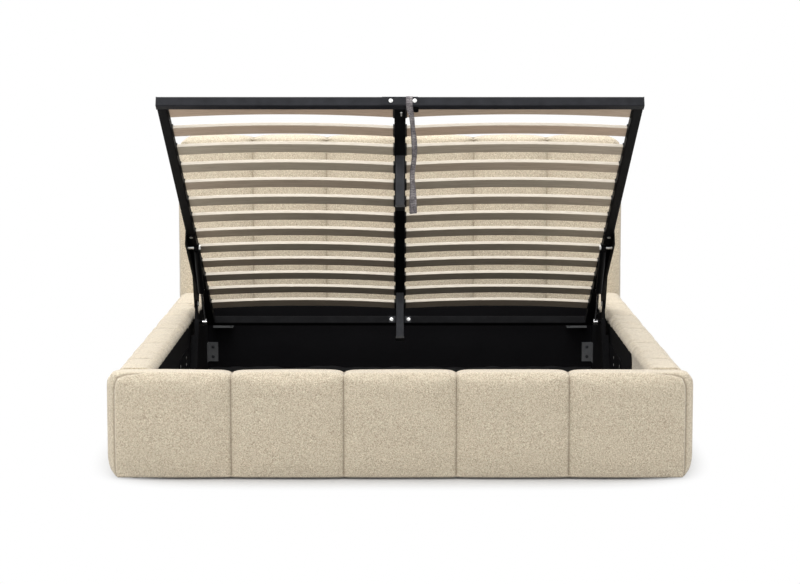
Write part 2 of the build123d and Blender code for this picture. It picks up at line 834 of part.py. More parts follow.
with BuildPart() as right_slat_holders:
    for slat_y in slat_centres:
        with BuildSketch(across_plane(slat_y + holder_length / 2)):
            with BuildLine():
                Polyline(*holder_outline(platform_half - tube, -1))
            make_face()
        extrude(amount=holder_length)

with BuildPart() as centre_slat_holders:
    for slat_y in slat_centres:
        with BuildSketch(across_plane(slat_y + holder_length / 2)):
            for side in (1, -1):
                with BuildLine():
                    Polyline(*holder_outline(side * centre_tube_width / 2, side))
                make_face()
        extrude(amount=holder_length)

# Centre legs: with the platform down they stand on the storage floor
leg_bottom = closed_height - cloth_top - leg_floor_gap
with BuildPart() as centre_legs:
    with BuildSketch(platform_plane.offset(-half_tube)):
        with Locations(*[(0, station) for station in leg_stations]):
            RectangleRounded(leg_width, leg_width, tube_corner)
            leg_inside = leg_width - 2 * tube_wall
            RectangleRounded(leg_inside, leg_inside, tube_corner - tube_wall, mode=Mode.SUBTRACT)
    extrude(amount=-(leg_bottom - leg_cap_height - half_tube))

with BuildPart() as leg_caps:
    with BuildSketch(platform_plane.offset(-(leg_bottom - leg_cap_height))):
        with Locations(*[(0, station) for station in leg_stations]):
            Rectangle(leg_cap_width, leg_cap_width)
    extrude(amount=-leg_cap_height)
    leg_axis = Axis(platform_plane.origin, platform_plane.z_dir)
    fillet(leg_caps.edges().filter_by(leg_axis), leg_cap_height / 4)

# Platform arms: folded angles under the side tubes that carry the upper pivots
with BuildPart() as right_platform_arm:
    with BuildSketch(platform_side_plane(platform_half)):
        with BuildLine():
            Polyline(
                (arm_start, -arm_top_below),
                (arm_end, -arm_top_below),
                (arm_end, -arm_depth),
                (front_pivot_along + arm_lobe_half, -arm_lobe_depth),
                (front_pivot_along - arm_lobe_half, -arm_lobe_depth),
                (front_pivot_along - arm_lobe_half - 2 * arm_depth, -arm_depth),
                (arm_start, -arm_depth),
                (arm_start, -arm_top_below),
            )
        arm_face = make_face()
        fillet(arm_face.vertices(), arm_corner)
    extrude(amount=sheet_steel)
    with BuildSketch(platform_plane.offset(-half_tube)):
        with Locations((tube_middle, (arm_start + arm_end) / 2)):
            Rectangle(tube, arm_end - arm_start - 2 * arm_corner)
    extrude(amount=-sheet_steel)

rear_pivot = (rear_pivot_along, -rear_pivot_below)
front_pivot = (front_pivot_along, -front_pivot_below)
with BuildPart() as platform_pivot_pins:
    for side in (1, -1):
        # The rear link turns outside the arm, between a rivet head and the arm
        with BuildSketch(platform_side_plane(side * arm_outer)):
            with Locations(rear_pivot):
                Circle(pin_radius)
        extrude(amount=side * (side_gap + link_thickness + rivet_fit))
        with BuildSketch(platform_side_plane(side * (link_outer + rivet_fit))):
            with Locations(rear_pivot):
                Circle(rivet_radius)
        extrude(amount=side * rivet_head)
        with BuildSketch(platform_side_plane(side * platform_half)):
            with Locations(rear_pivot):
                RegularPolygon(rivet_radius, 6)
        extrude(amount=-side * nut_height)
        # The front link turns inside the arm, between the arm and a nut
        with BuildSketch(platform_side_plane(side * platform_half)):
            with Locations(front_pivot):
                Circle(pin_radius)
        extrude(amount=-side * (side_gap + link_thickness + rivet_fit))
        with BuildSketch(platform_side_plane(side * (front_link_inner - rivet_fit))):
            with Locations(front_pivot):
                RegularPolygon(rivet_radius, 6)
        extrude(amount=-side * nut_height)
        with BuildSketch(platform_side_plane(side * arm_outer)):
            with Locations(front_pivot):
                Circle(rivet_radius)
        extrude(amount=side * rivet_head)

# Cross pins of the gas struts, from the arm inwards
strut_middle = tube_middle - strut_inset
with BuildPart() as strut_cross_pins:
    for side in (1, -1):
        with BuildSketch(platform_side_plane(side * platform_half)):
            with Locations((strut_pivot_along, -strut_pivot_below)):
                Circle(pin_radius)
        inner_x = strut_middle - eye_width / 2 - side_gap
        extrude(amount=-side * (platform_half - inner_x))
        with BuildSketch(platform_side_plane(side * inner_x)):
            with Locations((strut_pivot_along, -strut_pivot_below)):
                RegularPolygon(rivet_radius, 6)
        extrude(amount=-side * nut_height)

# Bolts of the frame: under the arms, along the centre rail and in the bars' faces
arm_bolts = (arm_start + 2 * eye_radius, arm_end - 2 * eye_radius)
with BuildPart() as frame_bolts:
    with BuildSketch(platform_plane.offset(-half_tube - sheet_steel)):
        for side in (1, -1):
            for bolt_y in arm_bolts:
                with Locations((side * tube_middle, bolt_y)):
                    RegularPolygon(bolt_radius, 6)
    extrude(amount=-bolt_height)
    with BuildSketch(platform_plane.offset(-half_tube)):
        for bolt_y in (2 * tube, platform_length - 3 * tube):
            with Locations((0, bolt_y)):
                RegularPolygon(bolt_radius, 6)
    extrude(amount=-bolt_height)
    for bolt_end, bolt_row in ((0, foot_plate_bolts), (platform_length - tube, head_plate_bolts)):
        with BuildSketch(across_plane(bolt_end - sheet_steel)):
            with Locations(*[(bolt_x, 0) for bolt_x in bolt_row]):
                RegularPolygon(bolt_radius, 6)
        extrude(amount=flat_bolt_height)

# Links
with BuildPart() as right_rear_link:
    with BuildSketch(side_plane(link_inner)):
        with BuildLine():
            for pivot in (rear_base, open_rear):
                CenterArc(place(pivot), link_boss, 0, 360)
        make_hull()
        with Locations(place(rear_base), place(open_rear)):
            Circle(pin_radius + pin_fit, mode=Mode.SUBTRACT)
    extrude(amount=link_thickness)

stud_end = strut_middle + eye_width / 2 + strut_open_gap
front_link_length = hypot(open_front[0] - front_base[0], open_front[1] - front_base[1])
front_link_plane = Plane(
    origin=(front_link_inner, behind(front_base[0]), front_base[1]),
    x_dir=(
        0,
        (open_front[0] - front_base[0]) / front_link_length,
        (open_front[1] - front_base[1]) / front_link_length,
    ),
    z_dir=(1, 0, 0),
)
with BuildPart() as right_front_link:
    with BuildSketch(side_plane(front_link_inner)):
        with BuildLine():
            for pivot, boss in ((front_base, link_boss), (open_front, link_boss), (open_crank, crank_boss)):
                CenterArc(place(pivot), boss, 0, 360)
        make_hull()
        with Locations(place(front_base)):
            Circle(pin_radius + pin_fit, mode=Mode.SUBTRACT)
        with Locations(place(open_front)):
            Circle(pin_radius + open_pivot_fit, mode=Mode.SUBTRACT)
    extrude(amount=link_thickness)
    with BuildSketch(side_plane(front_link_inner)):
        with Locations(place(open_crank)):
            Circle(crank_stud_radius)
    extrude(amount=-(front_link_inner - stud_end))
    # A flange along the edge that faces the foot: inwards, and outwards over its lower part
    for flange_end, flange_start_x, flange_width in (
        (link_flange_end, -link_flange_inset, link_flange_inset + link_thickness),
        (link_flange_wide_end, 0, base_plate_inner - link_flange_gap - front_link_inner),
    ):
        with BuildSketch(front_link_plane.offset(flange_start_x)):
            with Locations(
                ((link_flange_start + flange_end) / 2, link_boss + flange_proud - link_flange / 2)
            ):
                Rectangle(flange_end - link_flange_start, link_flange)
        extrude(amount=flange_width)

# Gas struts, along the line from the cross pin to the crank stud
strut_direction = (
    0,
    (open_crank[0] - strut_top[0]) / strut_length,
    (open_crank[1] - strut_top[1]) / strut_length,
)


def strut_plane(distance):
    """A plane square to the right strut, this far below its cross pin."""
    return Plane(
        origin=(
            strut_middle,
            behind(strut_top[0]) + distance * strut_direction[1],
            strut_top[1] + distance * strut_direction[2],
        ),
        x_dir=(1, 0, 0),
        z_dir=strut_direction,
    )


with BuildPart() as right_strut_cylinder:
    with BuildSketch(strut_plane(strut_start)):
        Circle(strut_radius)
    extrude(amount=strut_body_length - strut_start)
    with BuildSketch(side_plane(strut_middle - eye_width / 2)):
        with Locations(place(strut_top)):
            Circle(eye_radius)
    extrude(amount=eye_width)
    with BuildSketch(strut_plane(0)):
        Rectangle(eye_width, eye_radius)
    extrude(amount=strut_start)
    with BuildSketch(side_plane(strut_middle - eye_width)):
        with Locations(place(strut_top)):
            Circle(pin_radius + pin_fit)
    extrude(amount=2 * eye_width, mode=Mode.SUBTRACT)
    with BuildSketch(strut_plane(strut_start + strut_radius)):
        Circle(strut_bore)
    extrude(amount=strut_body_length - strut_start - strut_radius - strut_gland, mode=Mode.SUBTRACT)
    with BuildSketch(strut_plane(strut_body_length - strut_gland - overrun)):
        Circle(rod_radius + rod_fit)
    extrude(amount=strut_gland + 2 * overrun, mode=Mode.SUBTRACT)

with BuildPart() as right_strut_rod:
    piston_end = strut_body_length - strut_gland - piston_fit
    with BuildSketch(strut_plane(piston_end - piston_length)):
        Circle(strut_bore - piston_fit)
    extrude(amount=piston_length)
    with BuildSketch(strut_plane(piston_end)):
        Circle(rod_radius)
    extrude(amount=strut_length - eye_radius / 2 - piston_end)
    with BuildSketch(side_plane(strut_middle - eye_width / 2)):
        with Locations(place(open_crank)):
            Circle(eye_radius)
    extrude(amount=eye_width)

# Pull strap: a loop round the foot bar and a doubled band that hangs in soft folds
band_top = on_platform(half_tube, half_tube + strap_clear + strap_loop / 2)
fold_height = strap_drop / strap_folds
with BuildPart() as pull_strap:
    loop_low, loop_high = -half_tube - strap_clear, half_tube + strap_clear
    loop_start, loop_end = -sheet_steel - strap_clear, tube + strap_clear
    loop_middle = ((loop_start + loop_end) / 2, 0)
    with BuildSketch(platform_side_plane(strap_inner)):
        with Locations(loop_middle):
            Rectangle(loop_end - loop_start + 2 * strap_loop, loop_high - loop_low + 2 * strap_loop)
            Rectangle(loop_end - loop_start, loop_high - loop_low, mode=Mode.SUBTRACT)
    extrude(amount=strap_width)
    with BuildSketch(side_plane(strap_inner)):
        with BuildLine():
            half_band = strap_thickness / 2
            for face in (1, -1):
                for fold in range(strap_folds):
                    sway = strap_sway if fold % 2 else -strap_sway
                    fold_top = band_top[1] - fold * fold_height
                    ThreePointArc(
                        place((band_top[0] + face * half_band, fold_top)),
                        place((band_top[0] + face * half_band + sway, fold_top - fold_height / 2)),
                        place((band_top[0] + face * half_band, fold_top - fold_height)),
                    )
            for level in (0, strap_drop):
                Line(
                    place((band_top[0] - half_band, band_top[1] - level)),
                    place((band_top[0] + half_band, band_top[1] - level)),
                )
        make_face()
    extrude(amount=strap_width)

# Left-hand pieces are mirror images of the right-hand ones
with BuildPart() as left_rail_board:
    mirror(right_rail_board.part, about=Plane.YZ)
with BuildPart() as left_rail_pad:
    mirror(right_rail_pad.part, about=Plane.YZ)
with BuildPart() as left_floor_panel:
    mirror(right_floor_panel.part, about=Plane.YZ)
with BuildPart() as left_rest_bracket:
    mirror(right_rest_bracket.part, about=Plane.YZ)
with BuildPart() as left_base_plate:
    mirror(right_base_plate.part, about=Plane.YZ)
with BuildPart() as left_side_tube:
    mirror(right_side_tube.part, about=Plane.YZ)
with BuildPart() as left_foot_bar:
    mirror(right_foot_bar.part, about=Plane.YZ)
with BuildPart() as left_head_bar:
    mirror(right_head_bar.part, about=Plane.YZ)
with BuildPart() as left_slats:
    mirror(right_slats.part, about=Plane.YZ)
with BuildPart() as left_slat_holders:
    mirror(right_slat_holders.part, about=Plane.YZ)
with BuildPart() as left_platform_arm:
    mirror(right_platform_arm.part, about=Plane.YZ)
with BuildPart() as left_rear_link:
    mirror(right_rear_link.part, about=Plane.YZ)
with BuildPart() as left_front_link:
    mirror(right_front_link.part, about=Plane.YZ)
with BuildPart() as left_strut_cylinder:
    mirror(right_strut_cylinder.part, about=Plane.YZ)
with BuildPart() as left_strut_rod:
    mirror(right_strut_rod.part, about=Plane.YZ)

pieces = {
    "foot_panel_board": foot_panel_board,
    "foot_panel_pad": foot_panel_pad,
    "left_rail_board": left_rail_board,
    "right_rail_board": right_rail_board,
    "left_rail_pad": left_rail_pad,
    "right_rail_pad": right_rail_pad,
    "left_liner": left_liner,
    "right_liner": right_liner,
    "head_inner_board": head_inner_board,
    "headboard_board": headboard_board,
    "headboard_pad": headboard_pad,
    "headboard_back_panel": headboard_back_panel,
    "floor_battens": floor_battens,
    "centre_beam": centre_beam,
    "left_floor_panel": left_floor_panel,
    "right_floor_panel": right_floor_panel,
    "storage_cloth": storage_cloth,
    "floor_glides": floor_glides,
    "head_corner_plates": head_corner_plates,
    "foot_corner_plates": foot_corner_plates,
    "corner_screws": corner_screws,
    "left_rest_bracket": left_rest_bracket,
    "right_rest_bracket": right_rest_bracket,
    "rest_pads": rest_pads,
    "left_base_plate": left_base_plate,
    "right_base_plate": right_base_plate,
    "base_plate_screws": base_plate_screws,
    "base_pivot_pins": base_pivot_pins,
    "left_side_tube": left_side_tube,
    "right_side_tube": right_side_tube,
    "left_foot_bar": left_foot_bar,
    "right_foot_bar": right_foot_bar,
    "left_head_bar": left_head_bar,
    "right_head_bar": right_head_bar,
    "centre_rail": centre_rail,
    "joint_plates": joint_plates,
    "strap_stop": strap_stop,
    "tube_plugs": tube_plugs,
    "left_slats": left_slats,
    "right_slats": right_slats,
    "left_slat_holders": left_slat_holders,
    "right_slat_holders": right_slat_holders,
    "centre_slat_holders": centre_slat_holders,
    "centre_legs": centre_legs,
    "leg_caps": leg_caps,
    "left_platform_arm": left_platform_arm,
    "right_platform_arm": right_platform_arm,
    "platform_pivot_pins": platform_pivot_pins,
    "strut_cross_pins": strut_cross_pins,
    "frame_bolts": frame_bolts,
    "pull_strap": pull_strap,
    "left_rear_link": left_rear_link,
    "right_rear_link": right_rear_link,
    "left_front_link": left_front_link,
    "right_front_link": right_front_link,
    "left_strut_cylinder": left_strut_cylinder,
    "right_strut_cylinder": right_strut_cylinder,
    "left_strut_rod": left_strut_rod,
    "right_strut_rod": right_strut_rod,
}

for name, piece in pieces.items():
    piece.part.label = name
    export_step(piece.part, f"parts/{name}.step")

# The lift's geometry at rest, in millimetres and degrees, for whoever writes the joints down
print("overall length", round(overall_length, 3), "platform half width", round(platform_half, 3))
print("rear base pivot y, z", [round(v, 3) for v in place(rear_base)])
print("front base pivot y, z", [round(v, 3) for v in place(front_base)])
print("rear platform pivot y, z", [round(v, 3) for v in place(open_rear)])
print("front platform pivot y, z", [round(v, 3) for v in place(open_front)])
print("strut cross pin y, z", [round(v, 3) for v in place(strut_top)])
print("crank stud y, z", [round(v, 3) for v in place(open_crank)], "strut length", round(strut_length, 3))
print("strut direction", [round(v, 5) for v in strut_direction])
print("platform foot end y, z", [round(v, 3) for v in place(open_foot)])
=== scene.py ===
# %% [markdown]
# # A king-size ottoman storage bed
# The bed stands with its slatted platform lifted at the foot. Everything rigid comes from the
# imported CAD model; this notebook gives those pieces their finishes and makes the soft and the
# repeated pieces anew: the padded covers, the bowed slats, the bolts, the pull strap and the
# cloth lining. All positions are metres in the CAD model's own frame.

import json
import math

import bpy
import numpy as np
from mathutils import Matrix, Vector

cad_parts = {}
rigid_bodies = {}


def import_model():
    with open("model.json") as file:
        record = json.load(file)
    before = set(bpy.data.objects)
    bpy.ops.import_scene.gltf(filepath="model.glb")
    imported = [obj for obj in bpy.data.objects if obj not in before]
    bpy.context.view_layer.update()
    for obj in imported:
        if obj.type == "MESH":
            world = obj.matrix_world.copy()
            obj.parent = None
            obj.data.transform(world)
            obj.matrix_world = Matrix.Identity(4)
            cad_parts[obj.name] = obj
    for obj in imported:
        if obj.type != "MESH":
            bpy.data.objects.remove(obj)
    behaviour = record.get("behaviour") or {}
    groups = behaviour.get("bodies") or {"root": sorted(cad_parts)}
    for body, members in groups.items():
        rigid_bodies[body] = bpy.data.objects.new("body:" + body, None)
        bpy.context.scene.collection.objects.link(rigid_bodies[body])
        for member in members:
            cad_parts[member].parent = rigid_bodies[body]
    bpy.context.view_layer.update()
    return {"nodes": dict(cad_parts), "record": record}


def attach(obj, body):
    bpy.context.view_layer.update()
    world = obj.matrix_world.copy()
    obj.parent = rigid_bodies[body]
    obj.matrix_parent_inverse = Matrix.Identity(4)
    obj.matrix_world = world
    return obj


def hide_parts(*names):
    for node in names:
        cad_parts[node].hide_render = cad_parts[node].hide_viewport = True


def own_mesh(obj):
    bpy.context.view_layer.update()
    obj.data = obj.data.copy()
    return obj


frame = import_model()
nodes = frame["nodes"]
scene = bpy.context.scene


def put(name, data):
    """A new object in the scene, at the origin."""
    thing = bpy.data.objects.new(name, data)
    scene.collection.objects.link(thing)
    return thing


# %% [markdown]
# The photograph is taken from the foot end with a long lens, a little above the raised platform
# and tipped slightly down. The lens and height were fitted to the bed's corners once, so they are
# written here as plain numbers.

# %% Camera
foot_face_y = -1.131
camera_data = bpy.data.cameras.new("camera")
camera_data.lens, camera_data.sensor_width = 101.57, 36.0
camera_data.clip_end = 60.0
camera = put("camera", camera_data)
camera.location = (0.0, foot_face_y - 6.745, 1.343)
camera.rotation_euler = (math.radians(83.5), 0.0, 0.0)
scene.camera = camera
scene.view_settings.view_transform = "Standard"

# %% [markdown]
# ## Node trees
# Finishes, the sky and the repeated pieces are all made of nodes. Linking nodes one by one hides
# the idea, so three small classes let a tree be written as a sum: a wire stands for a socket and
# can be added or multiplied, and one call adds any other node and feeds it.


# %% A small language for node trees
def maths(operation, swapped=False):
    """A method that feeds a wire and another value into one maths node."""
    def method(self, other=0.0):
        first, second = (other, self) if swapped else (self, other)
        return self.nodes.node("ShaderNodeMath", {0: first, 1: second}, operation=operation)
    return method


class Wire:
    """An output socket that can be added, multiplied and compared like a number."""

    def __init__(self, nodes, socket):
        self.nodes, self.socket = nodes, socket

    __add__ = __radd__ = maths("ADD")
    __mul__ = __rmul__ = maths("MULTIPLY")
    __sub__, __rsub__ = maths("SUBTRACT"), maths("SUBTRACT", swapped=True)
    __truediv__, __pow__, __abs__ = maths("DIVIDE"), maths("POWER"), maths("ABSOLUTE")
    __gt__, __lt__, larger = maths("GREATER_THAN"), maths("LESS_THAN"), maths("MAXIMUM")


class Nodes:
    """A node tree, with one call that adds a node and feeds it."""

    def __init__(self, tree):
        self.tree = tree

    def node(self, kind, inputs=(), out=0, **settings):
        """Adds a node with its settings and feeds its sockets with values or wires."""
        made = self.tree.nodes.new(kind)
        for name, value in settings.items():
            setattr(made, name, value)
        for socket, value in dict(inputs).items():
            self.feed(made.inputs[socket], value)
        return Wire(self, made.outputs[out])

    def feed(self, socket, value):
        """Links a wire to a socket, or sets its value."""
        if isinstance(value, Wire):
            self.tree.links.new(value.socket, socket)
        elif socket.type == "RGBA":
            socket.default_value = (*value, 1.0)
        else:
            socket.default_value = value

    def vector(self, x=0.0, y=0.0, z=0.0):
        """A vector from three numbers or wires."""
        return self.node("ShaderNodeCombineXYZ", {0: x, 1: y, 2: z})

    def part(self, vector, axis):
        """One number of a vector."""
        return self.node("ShaderNodeSeparateXYZ", {0: vector}, axis)


class Finish(Nodes):
    """One material, with a Principled shader and helpers for its usual nodes."""

    def __init__(self, name, **values):
        self.material = bpy.data.materials.new(name)
        self.material.use_nodes = True
        super().__init__(self.material.node_tree)
        self.shader = self.tree.nodes["Principled BSDF"]
        self.place = self.node("ShaderNodeTexCoord", out="Object")
        self.wear(**values)

    def wear(self, **values):
        """Feeds the shader's sockets."""
        for socket, value in values.items():
            self.feed(self.shader.inputs[socket.replace("_", " ")], value)
        return self.material

    def noise(self, scale, detail=2.0, rough=0.5, vector=None, out=0):
        """Noise at so many features to the metre, from 0 to 1."""
        return self.node(
            "ShaderNodeTexNoise",
            {"Vector": vector or self.place, "Scale": scale, "Detail": detail, "Roughness": rough}, out,
        )

    def cells(self, scale, vector):
        """Distance within rounded cells, so many to the metre."""
        return self.node("ShaderNodeTexVoronoi", {"Vector": vector, "Scale": scale}, "Distance")

    def bands(self, way, scale, distortion, detail, detail_scale=1.0):
        """Soft bands that follow each other along one axis."""
        return self.node(
            "ShaderNodeTexWave",
            {"Vector": self.place, "Scale": scale, "Distortion": distortion,
             "Detail": detail, "Detail Scale": detail_scale},
            "Fac", bands_direction=way, wave_profile="SIN",
        )

    def stretch(self, *scale):
        """Object coordinates scaled apart along each axis."""
        return self.node("ShaderNodeMapping", {"Vector": self.place, "Scale": scale})

    def ramp(self, wire, *stops):
        """A colour ramp of (position, colour) stops."""
        made = self.node("ShaderNodeValToRGB", {0: wire})
        elements = made.socket.node.color_ramp.elements
        for _ in stops[2:]:
            elements.new(1.0)
        for element, (at, colour) in zip(elements, stops):
            element.position, element.color = at, (*colour, 1.0)
        return made

    def mix(self, amount, first, second, blend="MIX"):
        """A mix of two colours."""
        return self.node(
            "ShaderNodeMix", {0: amount, 6: first, 7: second}, 2, data_type="RGBA", blend_type=blend
        )

    def own(self, name):
        """A number stored on the piece's own mesh."""
        return self.node("ShaderNodeAttribute", out="Fac", attribute_name=name)

    def bump(self, height, distance, strength):
        """A bump from a height wire."""
        return self.node(
            "ShaderNodeBump", {"Height": height, "Distance": distance, "Strength": strength}
        )


print("node helpers ready")

# %% [markdown]
# ## Finishes
# ### Cover cloth
# The cover is a looped, wool-like cloth: thousands of small curls a few millimetres across, with
# soft dark gaps between them. Real loops would be millions of faces, so rounded cells at two
# sizes are warped by noise and used twice, once for the height of the curls and once for the
# painted shade between them. Broad noise keeps a big panel from looking printed. Seams are
# darker, by a number that each pad carries on its own mesh: the seam line itself, and painted
# shade in the grooves and creases beside it.

# %% Looped cloth finish
def looped_cloth():
    cloth = Finish("looped_cloth", Sheen_Weight=0.25, Sheen_Roughness=0.6)
    warp = cloth.noise(190.0, out="Color")
    bent = cloth.node(
        "ShaderNodeVectorMath", {0: warp, 1: (0.006, 0.006, 0.006), 2: cloth.place},
        operation="MULTIPLY_ADD",
    )
    curls = cloth.cells(350.0, bent)
    small = cloth.cells(640.0, bent)
    height = 1 - (curls * 0.7 + small * 0.45)
    speckle = cloth.noise(360.0, 2.0, 0.6)
    fleck = cloth.noise(190.0, 2.0, 0.55)
    cloud = cloth.noise(7.0, 3.0, 0.55)
    drift = cloth.noise(34.0)
    shade = height * 0.30 + speckle * 0.45 + fleck * 0.25
    tone = cloth.ramp(
        shade,
        (0.36, (0.330, 0.280, 0.208)),
        (0.47, (0.520, 0.450, 0.345)),
        (0.56, (0.660, 0.580, 0.458)),
        (0.66, (0.820, 0.745, 0.615)),
    )
    hue = cloth.mix((fleck - 0.5) * 2.2 + 0.5, (1.03, 0.975, 0.965), (0.965, 1.0, 0.975))
    warm = cloth.mix((cloud - 0.5) * 1.2 + 0.5, (0.955, 0.965, 0.95), (1.03, 1.015, 0.995))
    tinted = cloth.mix(1.0, cloth.mix(1.0, tone, hue, "MULTIPLY"), warm, "MULTIPLY")
    mottled = cloth.mix((drift - 0.42) * 0.7, tinted, (0.560, 0.490, 0.375))
    # Painted shade: the pad's own number darkens the seam lines and the grooves and creases beside them
    seam_line_and_shade = cloth.own("seam_line_and_shade")
    colour = cloth.mix(seam_line_and_shade * 0.66, mottled, (0.150, 0.112, 0.070))
    rise = cloth.bump(height * 0.6 + speckle * 0.4, 0.0018, 0.6)
    return cloth.wear(Base_Color=colour, Normal=rise, Roughness=0.9 + speckle * 0.1)


cover_cloth = looped_cloth()
print("cover cloth", len(cover_cloth.node_tree.nodes), "nodes")

# %% [markdown]
# ### Steel, timber, plastic and lining
# The frame's steel is powder coated: nearly black, with the faint orange-peel grain and the thin
# bright rubs along edges that such a coat has. Bolts are zinc plated. The slats are lacquered
# birch, so the face veneer is browner than the cut edges, and no two slats match in tone.


# %% Metal finishes
def coated_steel(name, base, rub, roughness, gloss=0.3):
    steel = Finish(name, Specular_IOR_Level=gloss)
    peel = steel.noise(900.0)
    dust = steel.noise(26.0, 5.0, 0.62)
    scuff = steel.noise(4.0, 6.0, 0.7, steel.stretch(1.0, 1.0, 6.0))
    tone = steel.ramp(
        dust * 0.6 + scuff * 0.4,
        (0.35, base),
        (0.62, tuple(0.5 * (b + r) for b, r in zip(base, rub))),
        (0.80, rub),
    )
    return steel.wear(
        Base_Color=tone,
        Roughness=roughness + (dust - 0.5) * 0.25,
        Normal=steel.bump(peel, 0.0003, 0.35),
    )


def plated_steel(name, base, roughness):
    plate = Finish(name, Metallic=1.0)
    stain = plate.noise(55.0, 4.0, 0.6)
    brushed = plate.noise(260.0, vector=plate.stretch(1.0, 7.0, 1.0))
    tone = plate.ramp(stain, (0.3, tuple(0.75 * c for c in base)), (0.7, base))
    return plate.wear(
        Base_Color=tone,
        Roughness=roughness + brushed * 0.18,
        Normal=plate.bump(brushed, 0.0002, 0.3),
    )


black_steel = coated_steel(
    "black_coated_steel", (0.0024, 0.0024, 0.0028), (0.0105, 0.0106, 0.0115), 0.52, 0.035
)
# Lighter copies of the black steel, as painted light on the bars and legs that face the foot end
bar_steel_painted_lit = coated_steel("black_bar_steel", (0.012, 0.0125, 0.0145), (0.030, 0.031, 0.036), 0.48, 0.09)
leg_steel_painted_lit = coated_steel("black_leg_steel", (0.028, 0.029, 0.033), (0.062, 0.064, 0.070), 0.46, 0.15)
grey_steel = coated_steel("grey_coated_steel", (0.082, 0.084, 0.086), (0.150, 0.153, 0.157), 0.5)
zinc = plated_steel("zinc_plate", (0.78, 0.78, 0.76), 0.24)
# A dark copy of the zinc, as painted shade on the corner screws, which sit in shade
dark_screw = plated_steel("dark_screw", (0.055, 0.056, 0.060), 0.3)
polished = plated_steel("polished_rod", (0.70, 0.70, 0.71), 0.08)
print("metal finishes ready")


# %% Timber and board finishes
def slat_birch():
    birch = Finish("slat_birch", Coat_Weight=0.12, Coat_Roughness=0.3)
    grain = birch.noise(26.0, 6.0, 0.65, birch.stretch(0.35, 9.0, 9.0))
    pore = birch.noise(240.0, 3.0, 0.6, birch.stretch(0.08, 3.0, 3.0))
    tint = birch.own("tint")
    edge = birch.own("edge")
    veneer = birch.ramp(
        grain * 0.7 + pore * 0.3,
        (0.30, (0.385, 0.302, 0.225)),
        (0.52, (0.540, 0.448, 0.360)),
        (0.75, (0.650, 0.556, 0.455)),
    )
    cool = birch.mix(1.0, veneer, (0.94, 0.99, 0.97), "MULTIPLY")
    warm = birch.mix(1.0, veneer, (1.08, 0.95, 0.88), "MULTIPLY")
    face = birch.mix(tint, cool, warm)
    ply = birch.noise(700.0, vector=birch.stretch(0.05, 1.0, 1.0))
    cut = birch.ramp(ply, (0.3, (0.47, 0.415, 0.335)), (0.7, (0.60, 0.55, 0.47)))
    return birch.wear(
        Base_Color=birch.mix(edge, face, cut),
        Roughness=0.42 + pore * 0.2,
        Normal=birch.bump(grain + pore * 0.6, 0.0006, 0.4),
    )


def flat_board(name, dark, light, scale, roughness, height=0.0004, gloss=0.5):
    board = Finish(name, Specular_IOR_Level=gloss)
    fleck = board.noise(scale, 5.0, 0.68)
    broad = board.noise(scale * 0.05, 3.0, 0.5)
    tone = board.ramp(fleck * 0.7 + broad * 0.3, (0.35, dark), (0.68, light))
    return board.wear(
        Base_Color=tone, Roughness=roughness + fleck * 0.12, Normal=board.bump(fleck, height, 0.5)
    )


def woven(name, dark, light, threads, roughness=0.9, height=0.0005, gloss=0.3):
    """A plain weave from two crossed waves."""
    weave = Finish(name, Specular_IOR_Level=gloss)
    fill = weave.bands("Z", threads / 6.28, 0.6, 1.0) * weave.bands("X", threads / 6.28, 0.6, 1.0)
    fuzz = weave.noise(threads * 0.8, 3.0, 0.6)
    tone = weave.ramp(fill * 0.6 + fuzz * 0.4, (0.15, dark), (0.75, light))
    return weave.wear(
        Base_Color=tone, Roughness=roughness, Normal=weave.bump(fill + fuzz * 0.4, height, 0.7)
    )


birch = slat_birch()
black_board = flat_board(
    "black_board", (0.0028, 0.0027, 0.0032), (0.0052, 0.0050, 0.0058), 160.0, 0.7, 0.0003, 0.06
)
floor_board = flat_board("floor_board", (0.12, 0.08, 0.05), (0.22, 0.155, 0.10), 120.0, 0.7)
plastic = flat_board("black_plastic", (0.008, 0.008, 0.008), (0.016, 0.016, 0.016), 420.0, 0.38, 0.0002)
rubber = flat_board("black_rubber", (0.012, 0.012, 0.012), (0.022, 0.022, 0.022), 300.0, 0.8)
lining = woven("beige_lining", (0.36, 0.33, 0.28), (0.52, 0.48, 0.42), 900.0)
black_cloth = woven(
    "black_cloth", (0.0028, 0.0028, 0.0030), (0.0068, 0.0068, 0.0072), 700.0, 0.5, 0.0004, 0.3
)


def strap_webbing():
    """Coarse ribs with a melange yarn, darker along both edges."""
    web = Finish("grey_webbing", Specular_IOR_Level=0.2)
    ribs = web.bands("Z", 62.0, 3.0, 2.0, 2.0)
    yarn = web.noise(260.0, 3.0, 0.7)
    worn = web.noise(45.0, 3.0, 0.6)
    tone = web.ramp(
        yarn * 0.40 + ribs * 0.12 + worn * 0.48,
        (0.36, (0.052, 0.046, 0.050)),
        (0.50, (0.150, 0.135, 0.140)),
        (0.63, (0.330, 0.308, 0.305)),
    )
    edge = web.own("selvedge") ** 6
    return web.wear(
        Base_Color=web.mix(edge * 0.55, tone, (0.060, 0.052, 0.056)),
        Roughness=0.82 + yarn * 0.15,
        Normal=web.bump(ribs + yarn * 0.6, 0.0008, 0.8),
    )


webbing = strap_webbing()
print("board and cloth finishes ready")

# %% [markdown]
# Each rigid piece keeps its CAD mesh and takes the finish of its material slot.

# %% Dress the CAD pieces
finish_of_slot = {
    "boucle": cover_cloth,
    "covered_board": lining,
    "black_board": black_board,
    "back_cloth": black_cloth,
    "floor_board": floor_board,
    "black_cloth": black_cloth,
    "black_plastic": plastic,
    "black_rubber": rubber,
    "black_steel": black_steel,
    "grey_steel": grey_steel,
    "zinc_steel": zinc,
    "slat_wood": birch,
    "strap_webbing": webbing,
    "polished_rod": polished,
}
slot_of = {entry["node"]: entry["material_slot"] for entry in frame["record"]["subparts"]}
